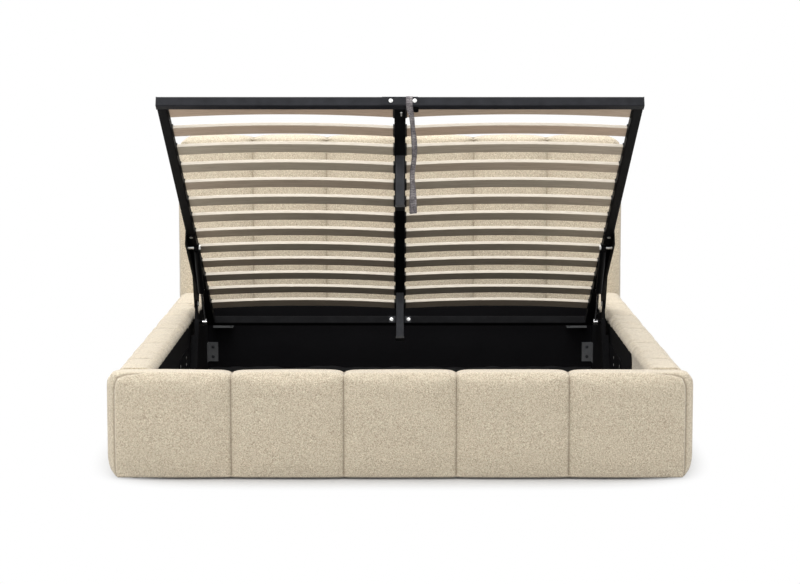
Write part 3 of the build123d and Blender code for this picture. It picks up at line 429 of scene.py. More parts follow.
# The bars and legs that face the foot end take lighter copies of the tubes' black steel: painted light,
# for faces turned to the lamps in front
painted_lit_nodes = {
    "left_foot_bar": bar_steel_painted_lit, "right_foot_bar": bar_steel_painted_lit, "joint_plates": bar_steel_painted_lit,
    "centre_legs": leg_steel_painted_lit,
}
for name, piece in nodes.items():
    finish = painted_lit_nodes.get(name, finish_of_slot[slot_of[name]])
    piece.data.materials.clear()
    piece.data.materials.append(finish)
print("dressed", len(nodes), "CAD pieces")

# %% [markdown]
# ## Padded covers
# Each pad is foam over a board, pulled into a cover that is sewn into channels. A good start is
# a block whose faces are grids, because the grid lines can be packed close together along the
# seams, where the cloth turns sharply. Its edges are rounded by pulling every point towards a
# smaller inner block. The seams are then sunk, and a short cloth simulation blows the cover up
# between them, which gives the uneven fullness of real foam.


# %% Grid helpers
def spread(low, high, round_low, round_high, step, seams):
    """Stations along one side of a block: close in the rounded ends and beside each seam."""
    turns = [math.tan(math.radians(a)) for a in (0.0, 11.25, 22.5, 33.75, 45.0)]
    marks = {round(low + round_low * (1 - t), 6) for t in turns}
    marks |= {round(high - round_high * (1 - t), 6) for t in turns}
    offsets = (0.0, 0.003, 0.007, 0.013, 0.021)
    beside = [seam_line_and_shade + side * offset for seam_line_and_shade in seams for offset in offsets for side in (-1, 1)]
    marks |= {round(at, 6) for at in beside if low + round_low < at < high - round_high}
    fixed = sorted(marks)
    stations = []
    for a, b in zip(fixed, fixed[1:]):
        parts = max(1, round((b - a) / step))
        stations += [a + (b - a) * i / parts for i in range(parts)]
    return np.array(stations + [fixed[-1]])


def block_surface(xs, ys, zs):
    """The points and quads of a block's six faces, shared along its edges."""
    sizes = (len(xs), len(ys), len(zs))
    index, quads = {}, []
    for axis in range(3):
        u, v = (axis + 1) % 3, (axis + 2) % 3
        for end in (0, sizes[axis] - 1):
            for a in range(sizes[u] - 1):
                for b in range(sizes[v] - 1):
                    corners = []
                    for da, db in ((0, 0), (1, 0), (1, 1), (0, 1)):
                        key = [0, 0, 0]
                        key[axis], key[u], key[v] = end, a + da, b + db
                        corners.append(index.setdefault(tuple(key), len(index)))
                    quads.append(corners if end else corners[::-1])
    return np.array([(xs[i], ys[j], zs[k]) for i, j, k in index]), quads


def round_block(points, low, high, round_low, round_high):
    """Pulls a block's edges round; gives the points, their outward directions and edge shares."""
    low, high = np.array(low), np.array(high)
    round_low, round_high = np.array(round_low), np.array(round_high)
    core = np.clip(points, low + round_low, high - round_high)
    reach = points - core
    radius = np.where(reach < 0, round_low, round_high)
    share = reach / radius
    longest = np.abs(share).max(axis=1, keepdims=True)
    length = np.linalg.norm(share, axis=1, keepdims=True)
    pulled = core + reach * longest / length
    outward = share / radius
    return pulled, outward / np.linalg.norm(outward, axis=1, keepdims=True), share


def pad_block(low, high, round_low, round_high, steps, seams):
    """A rounded block: its points, outward directions, edge shares and quads."""
    grid, quads = block_surface(*map(spread, low, high, round_low, round_high, steps, seams))
    return (*round_block(grid, low, high, round_low, round_high), quads)


def fresh(name, points, faces, finish):
    """A new mesh object at the origin, smooth, with one finish."""
    mesh = bpy.data.meshes.new(name)
    mesh.from_pydata([tuple(p) for p in points], [], faces)
    mesh.update()
    mesh.shade_smooth()
    mesh.materials.append(finish)
    return put(name, mesh)


def push(points, outward, distances):
    """Moves each point outward by its own distance."""
    points += outward * distances[:, None]


def store(piece, name, values):
    """Keeps one number for each point on the mesh, for the shader."""
    attribute = piece.data.attributes.new(name, "FLOAT", "POINT")
    attribute.data.foreach_set("value", np.asarray(values, dtype=np.float32))


print("grid helpers ready")

# %% [markdown]
# A seam pulls the cover down in a sharp valley that rounds off on each side. An exponential has
# that shape: a crease at the seam, then a soft shoulder. Between seams the cover is slightly
# crowned.


# %% Seam and crown helpers
def seam_distance(along, seams):
    """Distance of each point from its nearest seam."""
    return np.abs(along[:, None] - np.array(seams)[None, :]).min(axis=1)


def channel_crown(along, stations):
    """0 in the middle of a channel, rising to 1 at its seams."""
    stations = np.array(stations)
    place = np.clip(np.searchsorted(stations, along) - 1, 0, len(stations) - 2)
    start, end = stations[place], stations[place + 1]
    return np.clip(np.abs(2 * (along - start) / (end - start) - 1), 0, 1) ** 2


def soft_step(values, low, high):
    """A smooth rise from 0 to 1 between low and high."""
    t = np.clip((values - low) / (high - low), 0, 1)
    return t * t * (3 - 2 * t)


def rounded_corners(points, half_width, top, radius):
    """Draws the top corners in towards a quarter circle, seen from the front."""
    over_x = np.maximum(np.abs(points[:, 0]) - (half_width - radius), 0)
    over_z = np.maximum(points[:, 2] - (top - radius), 0)
    length = np.maximum(np.hypot(over_x, over_z), 1e-6)
    # The block's edges are rounded already, so its corner is nearer a superellipse than a square
    corner = (over_x ** 5 + over_z ** 5) ** 0.2
    share = np.clip(1 - corner / length, 0, 1) * ((over_x > 0) & (over_z > 0))
    points[:, 0] -= np.sign(points[:, 0]) * over_x * share
    points[:, 2] -= over_z * share


def waves(points, lengths, seed):
    """Smooth unevenness from a few sine waves in fixed random directions, about -1 to 1."""
    rng = np.random.default_rng(seed)
    total = np.zeros(len(points))
    for length in lengths:
        for _ in range(3):
            way = rng.normal(size=3)
            way /= np.linalg.norm(way)
            total += np.sin(points @ way * 2 * math.pi / length + rng.uniform(0, 6.28))
    return total / (3 * len(lengths)) * 1.6


print("seam helpers ready")

# %% [markdown]
# The cloth simulation pins the seams and the hidden faces, turns gravity off and blows the cover
# up for a few frames. How far a point may move is capped, and the result is written back to the
# mesh, so no simulation is left on the piece.


# %% Sewing and cloth simulation helpers
blow_frames = 14


def blow_up(piece, pinned, pressure, cap, slack):
    """Inflates a pad's cover between its pinned points, by no more than the cap."""
    group = piece.vertex_groups.new(name="sewn")
    group.add([int(i) for i in np.nonzero(pinned)[0]], 1.0, "REPLACE")
    cover = piece.modifiers.new("cover", "CLOTH")
    settings = cover.settings
    settings.quality = 4
    settings.mass = 0.25
    settings.tension_stiffness = settings.compression_stiffness = 18.0
    settings.shear_stiffness = 6.0
    settings.bending_stiffness = 3.0
    settings.vertex_group_mass = "sewn"
    settings.use_pressure = True
    settings.uniform_pressure_force = pressure
    settings.shrink_min = -slack
    settings.effector_weights.gravity = 0.0
    cover.collision_settings.use_collision = False
    cover.collision_settings.use_self_collision = False
    for step in range(1, blow_frames + 1):
        scene.frame_set(step)
    shaped = piece.evaluated_get(bpy.context.evaluated_depsgraph_get())
    after, before = np.empty((2, len(piece.data.vertices) * 3))
    shaped.data.vertices.foreach_get("co", after)
    piece.data.vertices.foreach_get("co", before)
    move = (after - before).reshape(-1, 3)
    length = np.linalg.norm(move, axis=1, keepdims=True)
    move *= np.minimum(1.0, cap / np.maximum(length, 1e-9))
    piece.modifiers.remove(cover)
    piece.vertex_groups.remove(group)
    piece.data.vertices.foreach_set("co", before + move.ravel())
    piece.data.update()
    scene.frame_set(1)
    return float(length.max())


def sew_pad(name, node, points, quads, seam_line_and_shade, pinned, pressure, cap, slack=0.004):
    """Makes the cover, blows it up, smooths it once, hides the CAD pad and hangs the cover on the base."""
    piece = fresh(name, points, quads, cover_cloth)
    store(piece, "seam_line_and_shade", seam_line_and_shade)
    moved = blow_up(piece, pinned, pressure, cap, slack)
    smooth = piece.modifiers.new("smooth", "SUBSURF")
    smooth.levels = smooth.render_levels = 1
    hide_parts(node)
    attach(piece, "base")
    print(name, len(points), "points, blown up", round(moved, 4))


print("sewing helper ready")

# %% [markdown]
# ### Foot panel
# Five channels face the foot of the bed. The cover wraps over the top and round both ends, where
# a piped seam runs up the corner. The panel is nearly flat in front, so its seams are thin lines
# there and open into notches where they cross the top edge.

# %% Foot panel cover
foot_depth = 0.1055
foot_high = foot_face_y + foot_depth
foot_seams = [-0.513, -0.171, 0.171, 0.513]
pad_half, pad_top, pad_bottom = 0.870, 0.330, 0.003
pad_middle = pad_top / 2
# The foot panel's top lies a little lower than the rails'
foot_top = 0.3275


def foot_panel():
    points, outward, share, quads = pad_block(
        low=(-pad_half, foot_face_y + 0.004, pad_bottom), high=(pad_half, foot_high, foot_top),
        round_low=(0.012, 0.022, 0.008), round_high=(0.012, 0.020, 0.028),
        steps=(0.013, 0.009, 0.013), seams=(foot_seams, (), ()),
    )
    depth = points[:, 1] - foot_face_y
    behind_seam = soft_step(depth, 0.010, 0.045) * soft_step(-depth, -foot_depth, -0.090)
    rounded_corners(points, pad_half, foot_top, 0.055 - 0.017 * behind_seam)
    front, back, top = (np.clip(way, 0, 1) for way in (-outward[:, 1], outward[:, 1], outward[:, 2]))
    side = np.abs(outward[:, 0])
    near = seam_distance(points[:, 0], foot_seams)
    face_dip = 0.0075 * np.exp(-near / 0.010) * front
    top_dip = 0.0090 * np.exp(-near / 0.010) * top
    dip = np.maximum(face_dip, top_dip) + 0.003 * np.exp(-near / 0.010) * back
    crown = channel_crown(points[:, 0], [-pad_half, *foot_seams, pad_half])
    middle = 1 - ((points[:, 2] - pad_middle) / pad_middle) ** 2
    push(points, outward, -(dip + crown * np.maximum(0.0035 * front, 0.0012 * top)))
    points[:, 1] -= 0.0035 * middle * front
    # Past the corner seam the side of the cover swells out, but not close to the floor
    corner = np.clip(side + 1.2 * top * soft_step(np.abs(points[:, 0]), 0.800, 0.850), 0, 1)
    swell = soft_step(points[:, 2], -0.040, 0.070)
    points[:, 0] += np.sign(points[:, 0]) * 0.0225 * swell * behind_seam * corner
    # The piped seam lies where the rounded edge has turned 64 degrees away from the front
    around = np.maximum(np.abs(share[:, 0]), share[:, 2] * soft_step(np.abs(points[:, 0]), 0.760, 0.810))
    angle = np.degrees(np.arctan2(around, np.maximum(-share[:, 1], 0)))
    crease = np.exp(-(((angle - 64.0) / 11.0) ** 2)) * (share[:, 1] < 0)
    crease *= np.clip(around * 3, 0, 1)
    push(points, outward, -0.0055 * crease)
    lower = soft_step(-points[:, 2], -0.030, -0.002)
    points[:, 0] -= np.sign(points[:, 0]) * (0.006 + 0.006 * behind_seam) * lower ** 2 * corner
    push(points, outward, 0.0014 * waves(points, (0.42, 0.19), 3) * np.maximum(front, top))
    # Painted shade: each seam line darkens, and the piped crease at the corners darker still
    sewn = np.exp(-near / 0.0022) * np.maximum(front, top)
    seam_line_and_shade = np.maximum(sewn, 1.15 * crease ** 2)
    pinned = (near < 0.002) | (outward[:, 1] > 0.5) | (outward[:, 2] < -0.3) | (outward[:, 2] > 0.8)
    pinned |= (crease > 0.5) | (corner > 0.6)
    sew_pad("foot_panel_cover", "foot_panel_pad", points, quads, seam_line_and_shade, pinned, 0.9, 0.0045)


foot_panel()

# %% [markdown]
# ### Side rails
# The rails have the same cover, but their cross seams are shallow on the top and show mostly as
# faint lines and as small notches along the outer edge. The cloth is gathered along the inner
# edge, so it puckers there, most of all near the head end.

# %% Side rail covers
rail_start, rail_end = foot_face_y + 0.105, foot_face_y + 2.1315
rail_seams = [foot_face_y + 0.314 + 0.368 * i for i in range(5)]
rail_inner = 0.7604


def side_rail(side, name, node, seed):
    points, outward, _, quads = pad_block(
        low=(rail_inner, rail_start, pad_bottom), high=(pad_half, rail_end, pad_top),
        round_low=(0.024, 0.004, 0.006), round_high=(0.030, 0.012, 0.028),
        steps=(0.013, 0.014, 0.014), seams=((), rail_seams, ()),
    )
    outer, inner, top = (np.clip(way, 0, 1) for way in (outward[:, 0], -outward[:, 0], outward[:, 2]))
    near = seam_distance(points[:, 1], rail_seams)
    edge = np.clip(outer * top * 2, 0, 1)
    dip = 0.006 * np.exp(-near / 0.011) * outer + 0.0036 * np.exp(-near / 0.009) * top
    dip += 0.001 * np.exp(-near / 0.010) * edge
    crown = channel_crown(points[:, 1], [rail_start, *rail_seams, rail_end])
    middle = 1 - ((points[:, 2] - pad_middle) / pad_middle) ** 2
    push(points, outward, -(dip + 0.0015 * crown * np.maximum(outer, top)))
    points[:, 0] += 0.0125 * middle * soft_step(outer, 0.3, 0.9)
    # The inner face sits just behind the liner, below the part of the cover that laps the board
    below = soft_step(-points[:, 2], -0.304, -0.296)
    points[:, 0] += 0.0022 * below * soft_step(inner, 0.6, 0.95)
    gathered = soft_step(-points[:, 0], -0.815, -0.775) * soft_step(points[:, 2], 0.285, 0.31)
    gathered *= 0.35 + 0.65 * soft_step(points[:, 1], -0.3, 0.9)
    rng = np.random.default_rng(seed)
    slant = 1.08 * (points[:, 0] - 0.76)
    pucker = sum(
        np.sin((points[:, 1] * 6.283 + slant) / length + rng.uniform(0, 6.28))
        for length in (0.037, 0.056, 0.091)
    )
    push(points, outward, 0.0034 * pucker * gathered)
    push(points, outward, 0.0009 * waves(points, (0.33, 0.16), seed) * np.maximum(outer, top))
    points[:, 0] *= side
    if side < 0:
        quads = [q[::-1] for q in quads]
    across_top = soft_step(np.abs(points[:, 0]), 0.775, 0.800)
    # Painted shade along the gathered inner edge, deepest in the pucker valleys; the seam lines darken too
    pucker_shade = (0.16 + 0.60 * soft_step(-pucker, 0.0, 1.8)) * gathered
    sewn = np.exp(-near / 0.0034) * np.maximum(outer, 2.0 * top * across_top)
    seam_line_and_shade = np.maximum(sewn, pucker_shade)
    pinned = (near < 0.002) | (inner > 0.5) | (outward[:, 2] < -0.3) | (np.abs(outward[:, 1]) > 0.5)
    sew_pad(name, node, points, quads, seam_line_and_shade, pinned, 0.8, 0.004)


side_rail(-1, "left_rail_cover", "left_rail_pad", 11)
side_rail(1, "right_rail_cover", "right_rail_pad", 12)

# %% [markdown]
# ### Headboard
# Six upright channels, deeper than those of the base, dip where they cross the rounded top edge.
# The top corners are rounded too, in front view, which a block with rounded edges doesn't have,
# so its corner points are drawn in towards a quarter circle.

# %% Headboard cover
head_front, head_back = foot_face_y + 2.132, foot_face_y + 2.2585
head_seams = [-0.580, -0.290, 0.0, 0.290, 0.580]
head_half, head_top = 0.875, 0.950


def headboard():
    points, outward, _, quads = pad_block(
        low=(-head_half, head_front, pad_bottom), high=(head_half, head_back, head_top),
        round_low=(0.030, 0.022, 0.006), round_high=(0.030, 0.014, 0.022),
        steps=(0.014, 0.016, 0.018), seams=(head_seams, (), ()),
    )
    rounded_corners(points, head_half, head_top, 0.070)
    front, top = np.clip(-outward[:, 1], 0, 1), np.clip(outward[:, 2], 0, 1)
    near = seam_distance(points[:, 0], head_seams)
    dip = np.maximum(0.0140 * np.exp(-near / 0.024) * front, 0.0135 * np.exp(-near / 0.018) * top)
    crown = channel_crown(points[:, 0], [-head_half, *head_seams, head_half])
    push(points, outward, -(dip + 0.009 * crown * np.maximum(front, 0.4 * top)))
    push(points, outward, 0.0016 * waves(points, (0.36, 0.2), 5) * np.maximum(front, top))
    # Each seam line darkens, with a broad band of painted shade on both sides of it
    sewn = 0.55 * np.exp(-near / 0.0024) + 0.3 * np.exp(-near / 0.014)
    seam_line_and_shade = sewn * np.maximum(front, top)
    pinned = (near < 0.002) | (outward[:, 1] > 0.5) | (outward[:, 2] < -0.3)
    sew_pad("headboard_cover", "headboard_pad", points, quads, seam_line_and_shade, pinned, 0.9, 0.004, slack=0.0008)


headboard()

# %% [markdown]
# Some pieces are drawn by a curve or a tree of nodes and then kept as a plain mesh. A bevelled
# curve is the natural way to make a short bent rod, such as the stud of a wing bolt.


# %% Rod helper
def settled(host):
    """The plain mesh that an object comes out as; the object itself goes."""
    shaped = host.evaluated_get(bpy.context.evaluated_depsgraph_get())
    mesh = bpy.data.meshes.new_from_object(shaped)
    bpy.data.objects.remove(host)
    return mesh


def rod_along(name, points, radius, finish):
    """A smooth round rod through the points, as a plain mesh."""
    curve = bpy.data.curves.new(name, "CURVE")
    curve.dimensions = "3D"
    curve.bevel_depth, curve.bevel_resolution, curve.use_fill_caps = radius, 2, True
    line = curve.splines.new("NURBS")
    line.points.add(len(points) - 1)
    for point, (x, y, z) in zip(line.points, points):
        point.co = (x, y, z, 1.0)
    line.use_endpoint_u, line.order_u, line.resolution_u = True, 4, 8
    mesh = settled(put(name, curve))
    mesh.shade_smooth()
    mesh.materials.clear()
    mesh.materials.append(finish)
    return put(name, mesh)


# %% [markdown]
# ## Slats
# Thirteen rows of bowed birch slats span from each side tube to the centre rail. They repeat, so
# Geometry Nodes make them: one box with a few dozen faces is bowed, its cut edges are marked for
# the shader, and it is placed on a line of points. Each copy gets its own tone, and the first two
# rows are warmer than the rest.


# %% Slat tree
class Growth(Nodes):
    """A Geometry Nodes tree that grows repeated pieces."""

    def __init__(self, name):
        super().__init__(bpy.data.node_groups.new(name, "GeometryNodeTree"))
        self.tree.interface.new_socket("Geometry", in_out="OUTPUT", socket_type="NodeSocketGeometry")
        self.ids = {}

    def ask(self, name, kind):
        """Adds an input of the tree."""
        socket = self.tree.interface.new_socket(name, in_out="INPUT", socket_type=kind)
        self.ids[name] = socket.identifier
        return socket

    def sizes(self, **values):
        """Adds the numbers that the tree works with, then its finish."""
        for name, value in values.items():
            kind = "NodeSocketInt" if isinstance(value, int) else "NodeSocketFloat"
            self.ask(name, kind).default_value = value
        self.ask("finish", "NodeSocketMaterial")
        self.given = self.tree.nodes.new("NodeGroupInput")

    def value(self, name):
        """The wire of an input."""
        return Wire(self, self.given.outputs[name])

    def end(self, geometry):
        """Makes the copies real, gives them their finish and closes the tree."""
        whole = self.node("GeometryNodeRealizeInstances", {0: geometry})
        dressed = self.node(
            "GeometryNodeSetMaterial", {"Geometry": whole, "Material": self.value("finish")}
        )
        self.feed(self.tree.nodes.new("NodeGroupOutput").inputs[0], dressed)

    def grow(self, name, finish, matrix=Matrix.Identity(4), seed_mesh=None, **values):
        """Runs the tree, on seed points if it is given any, and returns a plain mesh object."""
        host = put(name, seed_mesh or bpy.data.meshes.new(name + "_seed"))
        maker = host.modifiers.new("grow", "NODES")
        maker.node_group = self.tree
        for key, value in {**values, "finish": finish}.items():
            maker[self.ids[key]] = value
        mesh = settled(host)
        mesh.transform(matrix)
        mesh.name = name
        return put(name, mesh)


def slat_growth():
    g = Growth("bowed_slats")
    g.sizes(
        count=13, pitch=0.142, length=0.68, width=0.062, thickness=0.011, bow=0.0105, warm_rows=2, seed=4
    )
    size = g.vector(g.value("length"), g.value("width"), g.value("thickness"))
    box = g.node(
        "GeometryNodeMeshCube",
        {"Size": size, "Vertices X": 22, "Vertices Y": 3, "Vertices Z": 2}, "Mesh",
    )
    x = g.part(g.node("GeometryNodeInputPosition"), "X")
    height = (1.0 - (x / g.value("length")) ** 2.0 * 4.0) * g.value("bow")
    sideways = g.part(g.node("GeometryNodeInputNormal"), "Y")
    marked = g.node(
        "GeometryNodeStoreNamedAttribute", {"Geometry": box, "Name": "edge", "Value": abs(sideways) > 0.6},
        data_type="FLOAT", domain="FACE",
    )
    bowed = g.node("GeometryNodeSetPosition", {"Geometry": marked, "Offset": g.vector(z=height)})
    step = g.vector(y=g.value("pitch"))
    row = g.node("GeometryNodeMeshLine", {"Count": g.value("count"), "Offset": step}, "Mesh")
    slats = g.node("GeometryNodeInstanceOnPoints", {"Points": row, "Instance": bowed})
    chance = g.node("FunctionNodeRandomValue", {"Seed": g.value("seed")}, 1, data_type="FLOAT")
    warmer = g.node("GeometryNodeInputIndex") < g.value("warm_rows")
    tint = warmer * 0.5 + chance * 0.4
    toned = g.node(
        "GeometryNodeStoreNamedAttribute", {"Geometry": slats, "Name": "tint", "Value": tint},
        data_type="FLOAT", domain="INSTANCE",
    )
    g.end(toned)
    return g


# The raised platform's own frame: its origin is the middle of the foot bar's front face
platform_turn = math.radians(27.2)
platform_place = (
    Matrix.Translation((0.0, -0.959068, 1.141839)) @ Matrix.Rotation(-platform_turn, 4, "X")
)
slats = slat_growth()
slat_inner, slat_outer = 0.0208, 0.7118
for side, name, seed in ((-1, "left_slat_row", 7), (1, "right_slat_row", 23)):
    middle = side * (slat_inner + slat_outer) / 2
    start = Matrix.Translation((middle, 0.075, -0.0003))
    row = slats.grow(name, birch, platform_place @ start, length=slat_outer - slat_inner, seed=seed)
    softened = row.modifiers.new("soft_edges", "BEVEL")
    softened.width, softened.segments, softened.limit_method = 0.0014, 2, "ANGLE"
    softened.angle_limit = math.radians(50)
    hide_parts("left_slats" if side < 0 else "right_slats")
    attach(row, "platform")
    print(name, len(row.data.polygons), "faces")

# %% [markdown]
# ## Bolts and screws
# Every fixing is a low domed head on a thin washer. Geometry Nodes place one small head on each
# point of a seed mesh and turn it to the direction that the point carries.


# %% Bolt tree
def head_growth():
    g = Growth("domed_heads")
    g.ask("places", "NodeSocketGeometry")
    g.sizes(radius=0.006, height=0.004, washer=0.0012)
    radius, thick = g.value("radius"), g.value("washer")
    washer = g.node(
        "GeometryNodeMeshCylinder", {"Vertices": 20, "Radius": radius * 1.35, "Depth": thick}, "Mesh",
        fill_type="NGON",
    )
    lift = g.vector(z=thick * 0.5)
    low = g.node("GeometryNodeTransform", {"Geometry": washer, "Translation": lift})
    ball = g.node(
        "GeometryNodeMeshUVSphere", {"Segments": 20, "Rings": 10, "Radius": radius}, "Mesh"
    )
    squash = g.vector(1.0, 1.0, g.value("height") / radius)
    dome = g.node("GeometryNodeTransform", {"Geometry": ball, "Translation": lift, "Scale": squash})
    smooth = g.node("GeometryNodeSetShadeSmooth", {"Geometry": dome})
    head = g.node("GeometryNodeJoinGeometry", {0: low})
    g.feed(head.socket.node.inputs[0], smooth)
    facing = g.node("GeometryNodeInputNamedAttribute", {"Name": "facing"}, data_type="FLOAT_VECTOR")
    turned = g.node("FunctionNodeAlignRotationToVector", {"Vector": facing}, axis="Z")
    heads = g.node(
        "GeometryNodeInstanceOnPoints",
        {"Points": g.value("places"), "Instance": head, "Rotation": turned},
    )
    g.end(heads)
    return g


def seed_points(name, fixings):
    """A mesh of loose points, each with a direction, from (place, direction) pairs."""
    places, facings = zip(*fixings)
    mesh = bpy.data.meshes.new(name)
    mesh.from_pydata([tuple(p) for p in places], [], [])
    way = mesh.attributes.new("facing", "FLOAT_VECTOR", "POINT")
    way.data.foreach_set("vector", np.array(facings, dtype=np.float32).ravel())
    return mesh


heads = head_growth()


def set_heads(name, finish, fixings, node, body, **sizes):
    """Grows the heads of one set of fixings, hides the CAD fixings and hangs the heads on the body."""
    piece = heads.grow(name, finish, seed_mesh=seed_points(name + "_places", fixings), **sizes)
    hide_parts(node)
    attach(piece, body)
    print(name, len(fixings))


# %% Bolts of the platform's frame
def on_platform(x, along, up):
    """A place in the raised platform's own frame."""
    return platform_place @ Vector((x, along, up))


turn3 = platform_place.to_3x3()
down = turn3 @ Vector((0, 0, -1))
towards_foot = turn3 @ Vector((0, -1, 0))
tube_middle, tube_half, plate_face = 0.730, 0.015, 0.003
arm_bolts = [
    (on_platform(side * tube_middle, along, -tube_half - plate_face), down)
    for side in (-1, 1) for along in (1.064, 1.576)
]
rail_bolt = [(on_platform(0.0, 1.890, -tube_half), down)]
bar_bolts = [
    (on_platform(x, end - plate_face, 0.0), towards_foot)
    for end, row in ((0.0, (-0.028, 0.045)), (1.950, (-0.033, 0.033))) for x in row
]
# The bolt under the rail's foot end is turned by hand: a stud with two wings
stud = [on_platform(0.004, 0.040 + 0.006 * i, -0.018 - 0.0016 * i) for i in range(4)]
wing = [on_platform(0.004 + x, 0.041, -0.0195) for x in (-0.0035, -0.0012, 0.0012, 0.0035)]
for name, route, radius in (("wing_bolt_stud", stud, 0.0021), ("wing_bolt_wings", wing, 0.0017)):
    turned_bolt = rod_along(name, route, radius, zinc)
    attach(turned_bolt, "platform")
set_heads(
    "frame_bolt_heads", zinc, arm_bolts + rail_bolt + bar_bolts, "frame_bolts", "platform",
    radius=0.0050, height=0.0026,
)

# %% Screws of the plates
base_plate_face = 0.756
plate_screws = [
    ((side * base_plate_face, y, z), (-side, 0, 0))
    for side in (-1, 1) for y in np.linspace(-0.1743, 0.4463, 4) for z in (0.2073, 0.1827)
]
set_heads(
    "base_plate_screw_heads", zinc, plate_screws, "base_plate_screws", "base",
    radius=0.0042, height=0.0010, washer=0.0005,
)
corner_screw_x = 0.740
corner_screws = [
    ((side * corner_screw_x, y, z), (0, way, 0))
    for side in (-1, 1) for z in (0.077, 0.115) for y, way in ((0.9802, -1), (-1.0235, 1))
]
# The corner screws are zinc like the others; their dark copy is painted shade
set_heads(
    "corner_screw_heads", dark_screw, corner_screws, "corner_screws", "base",
    radius=0.0045, height=0.0022,
)

# %% [markdown]
# ## Pull strap
# The strap is one closed loop of flat webbing, hung over the foot bar. Its two layers hang down
# together and twist slowly. It is swept by hand: a thin flat section is carried along the loop,
# turned at each step by the twist.


# %% Strap sweep
strap_width, strap_thickness = 0.021, 0.0015
strap_top, strap_end, strap_steps = 1.117, 0.799, 60
# Height, place across the bed and twist in degrees, from the bar down
strap_line = [
    (1.117, 0.0285, 10), (1.104, 0.0345, 38), (1.082, 0.0375, 50), (1.060, 0.0389, 54),
    (1.035, 0.0420, 45), (1.016, 0.0438, 36), (0.994, 0.0446, 40), (0.972, 0.0440, 46),
    (0.946, 0.0409, 48), (0.911, 0.0367, 46), (0.884, 0.0393, 50), (0.866, 0.0397, 28),
    (0.849, 0.0398, 8), (0.825, 0.0402, 0), (0.799, 0.0404, 0),
]


def strap_stations():
    """Heights, places across the bed and twists, at even steps down one layer."""
    zs, xs, twists = (np.array(column)[::-1] for column in zip(*strap_line))
    heights = np.linspace(strap_top, strap_end, strap_steps)

    def even(column):
        """One column at the even steps, smoothed over five of them."""
        return np.convolve(np.pad(np.interp(heights, zs, column), 2, "edge"), np.ones(5) / 5, "valid")

    return heights, even(xs), even(np.radians(twists))


def pull_strap():
    fine, xs, twist = strap_stations()
    bar = on_platform(0.0, 0.015, 0.0)
    hang_y = bar.y - 0.006
    gap = 0.0028
    # Over the bar, from its underside at the back, up, over the top and down the front
    half_bar, clear = 0.015, 0.0008
    back, front = 0.0300 + clear, -0.0030 - clear
    under, shoulder, over = -half_bar - 0.004, half_bar - 0.001, half_bar + clear
    round_bar = [
        (back, under), (back, 0.0), (back, shoulder), (0.0290, over), (0.0135, over),
        (-0.0020, over), (front, shoulder), (front, 0.0), (front, under),
    ]
    rows = [(on_platform(0.0285, along, up), Vector((1, 0, 0))) for along, up in round_bar]

    def layer(sign, order):
        for i in order:
            ease = min(1.0, (fine[0] - fine[i]) / 0.04)
            spread_out = gap * (0.42 + 0.8 * math.exp(-((fine[i] - 0.806) / 0.02) ** 2))
            side = Vector((math.cos(twist[i]), math.sin(twist[i]), 0.0))
            apart = Vector((math.sin(twist[i]), -math.cos(twist[i]), 0.0)) * spread_out * sign * ease
            start_y = bar.y + (-0.014 if sign > 0 else 0.012)
            y = start_y * (1 - ease) + (hang_y + 0.004 * math.sin(fine[i] * 21)) * ease
            # Lower down the two layers part sideways, so that both edges show
            slip = 0.0016 * sign * math.exp(-((fine[i] - 0.800) / 0.05) ** 2)
            yield Vector((xs[i] + slip, y, fine[i])) + apart, side

    rows += list(layer(1, range(strap_steps)))
    turn = rows[-1][0]
    rows += [(Vector((turn.x, hang_y + 0.003 * math.sin(fine[-1] * 21), 0.7965)), rows[-1][1])]
    rows += list(layer(-1, range(strap_steps - 1, -1, -1)))
    count = len(rows)
    half_width, half_thickness = strap_width / 2, strap_thickness / 2
    spots = (1.0, 0.5, 0.0, -0.5, -1.0)
    ring = 2 * len(spots)
    points, faces = [], []
    for k, (centre, side) in enumerate(rows):
        ahead, behind = rows[(k + 1) % count][0], rows[k - 1][0]
        forward = (ahead - behind).normalized()
        normal = forward.cross(side).normalized()
        side = normal.cross(forward).normalized()
        for face in (1, -1):
            for t in spots:
                across, out = side * (-face * t * half_width), normal * (face * half_thickness)
                points.append(centre + across + out)
        here, following = k * ring, (k + 1) % count * ring
        for j in range(ring):
            beside = (j + 1) % ring
            faces.append((here + j, here + beside, following + beside, following + j))
    piece = fresh("pull_strap_webbing", points, faces, webbing)
    store(piece, "selvedge", [abs(t) for _ in rows for t in spots * 2])
    smooth = piece.modifiers.new("smooth", "SUBSURF")
    smooth.levels = smooth.render_levels = 1
    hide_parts("pull_strap")
    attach(piece, "platform")
    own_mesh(piece)


pull_strap()

# %% [markdown]
# ## Cloth lining
# A black cloth lies loose on the storage floor. It is too big for the floor, so it lies in low
# folds, highest where it is pushed against the head end.


# %% Storage lining
lining_half, floor_top = 0.7545, 0.0288
leg_places = [foot_face_y + 0.112 + station for station in (0.385, 1.630)]


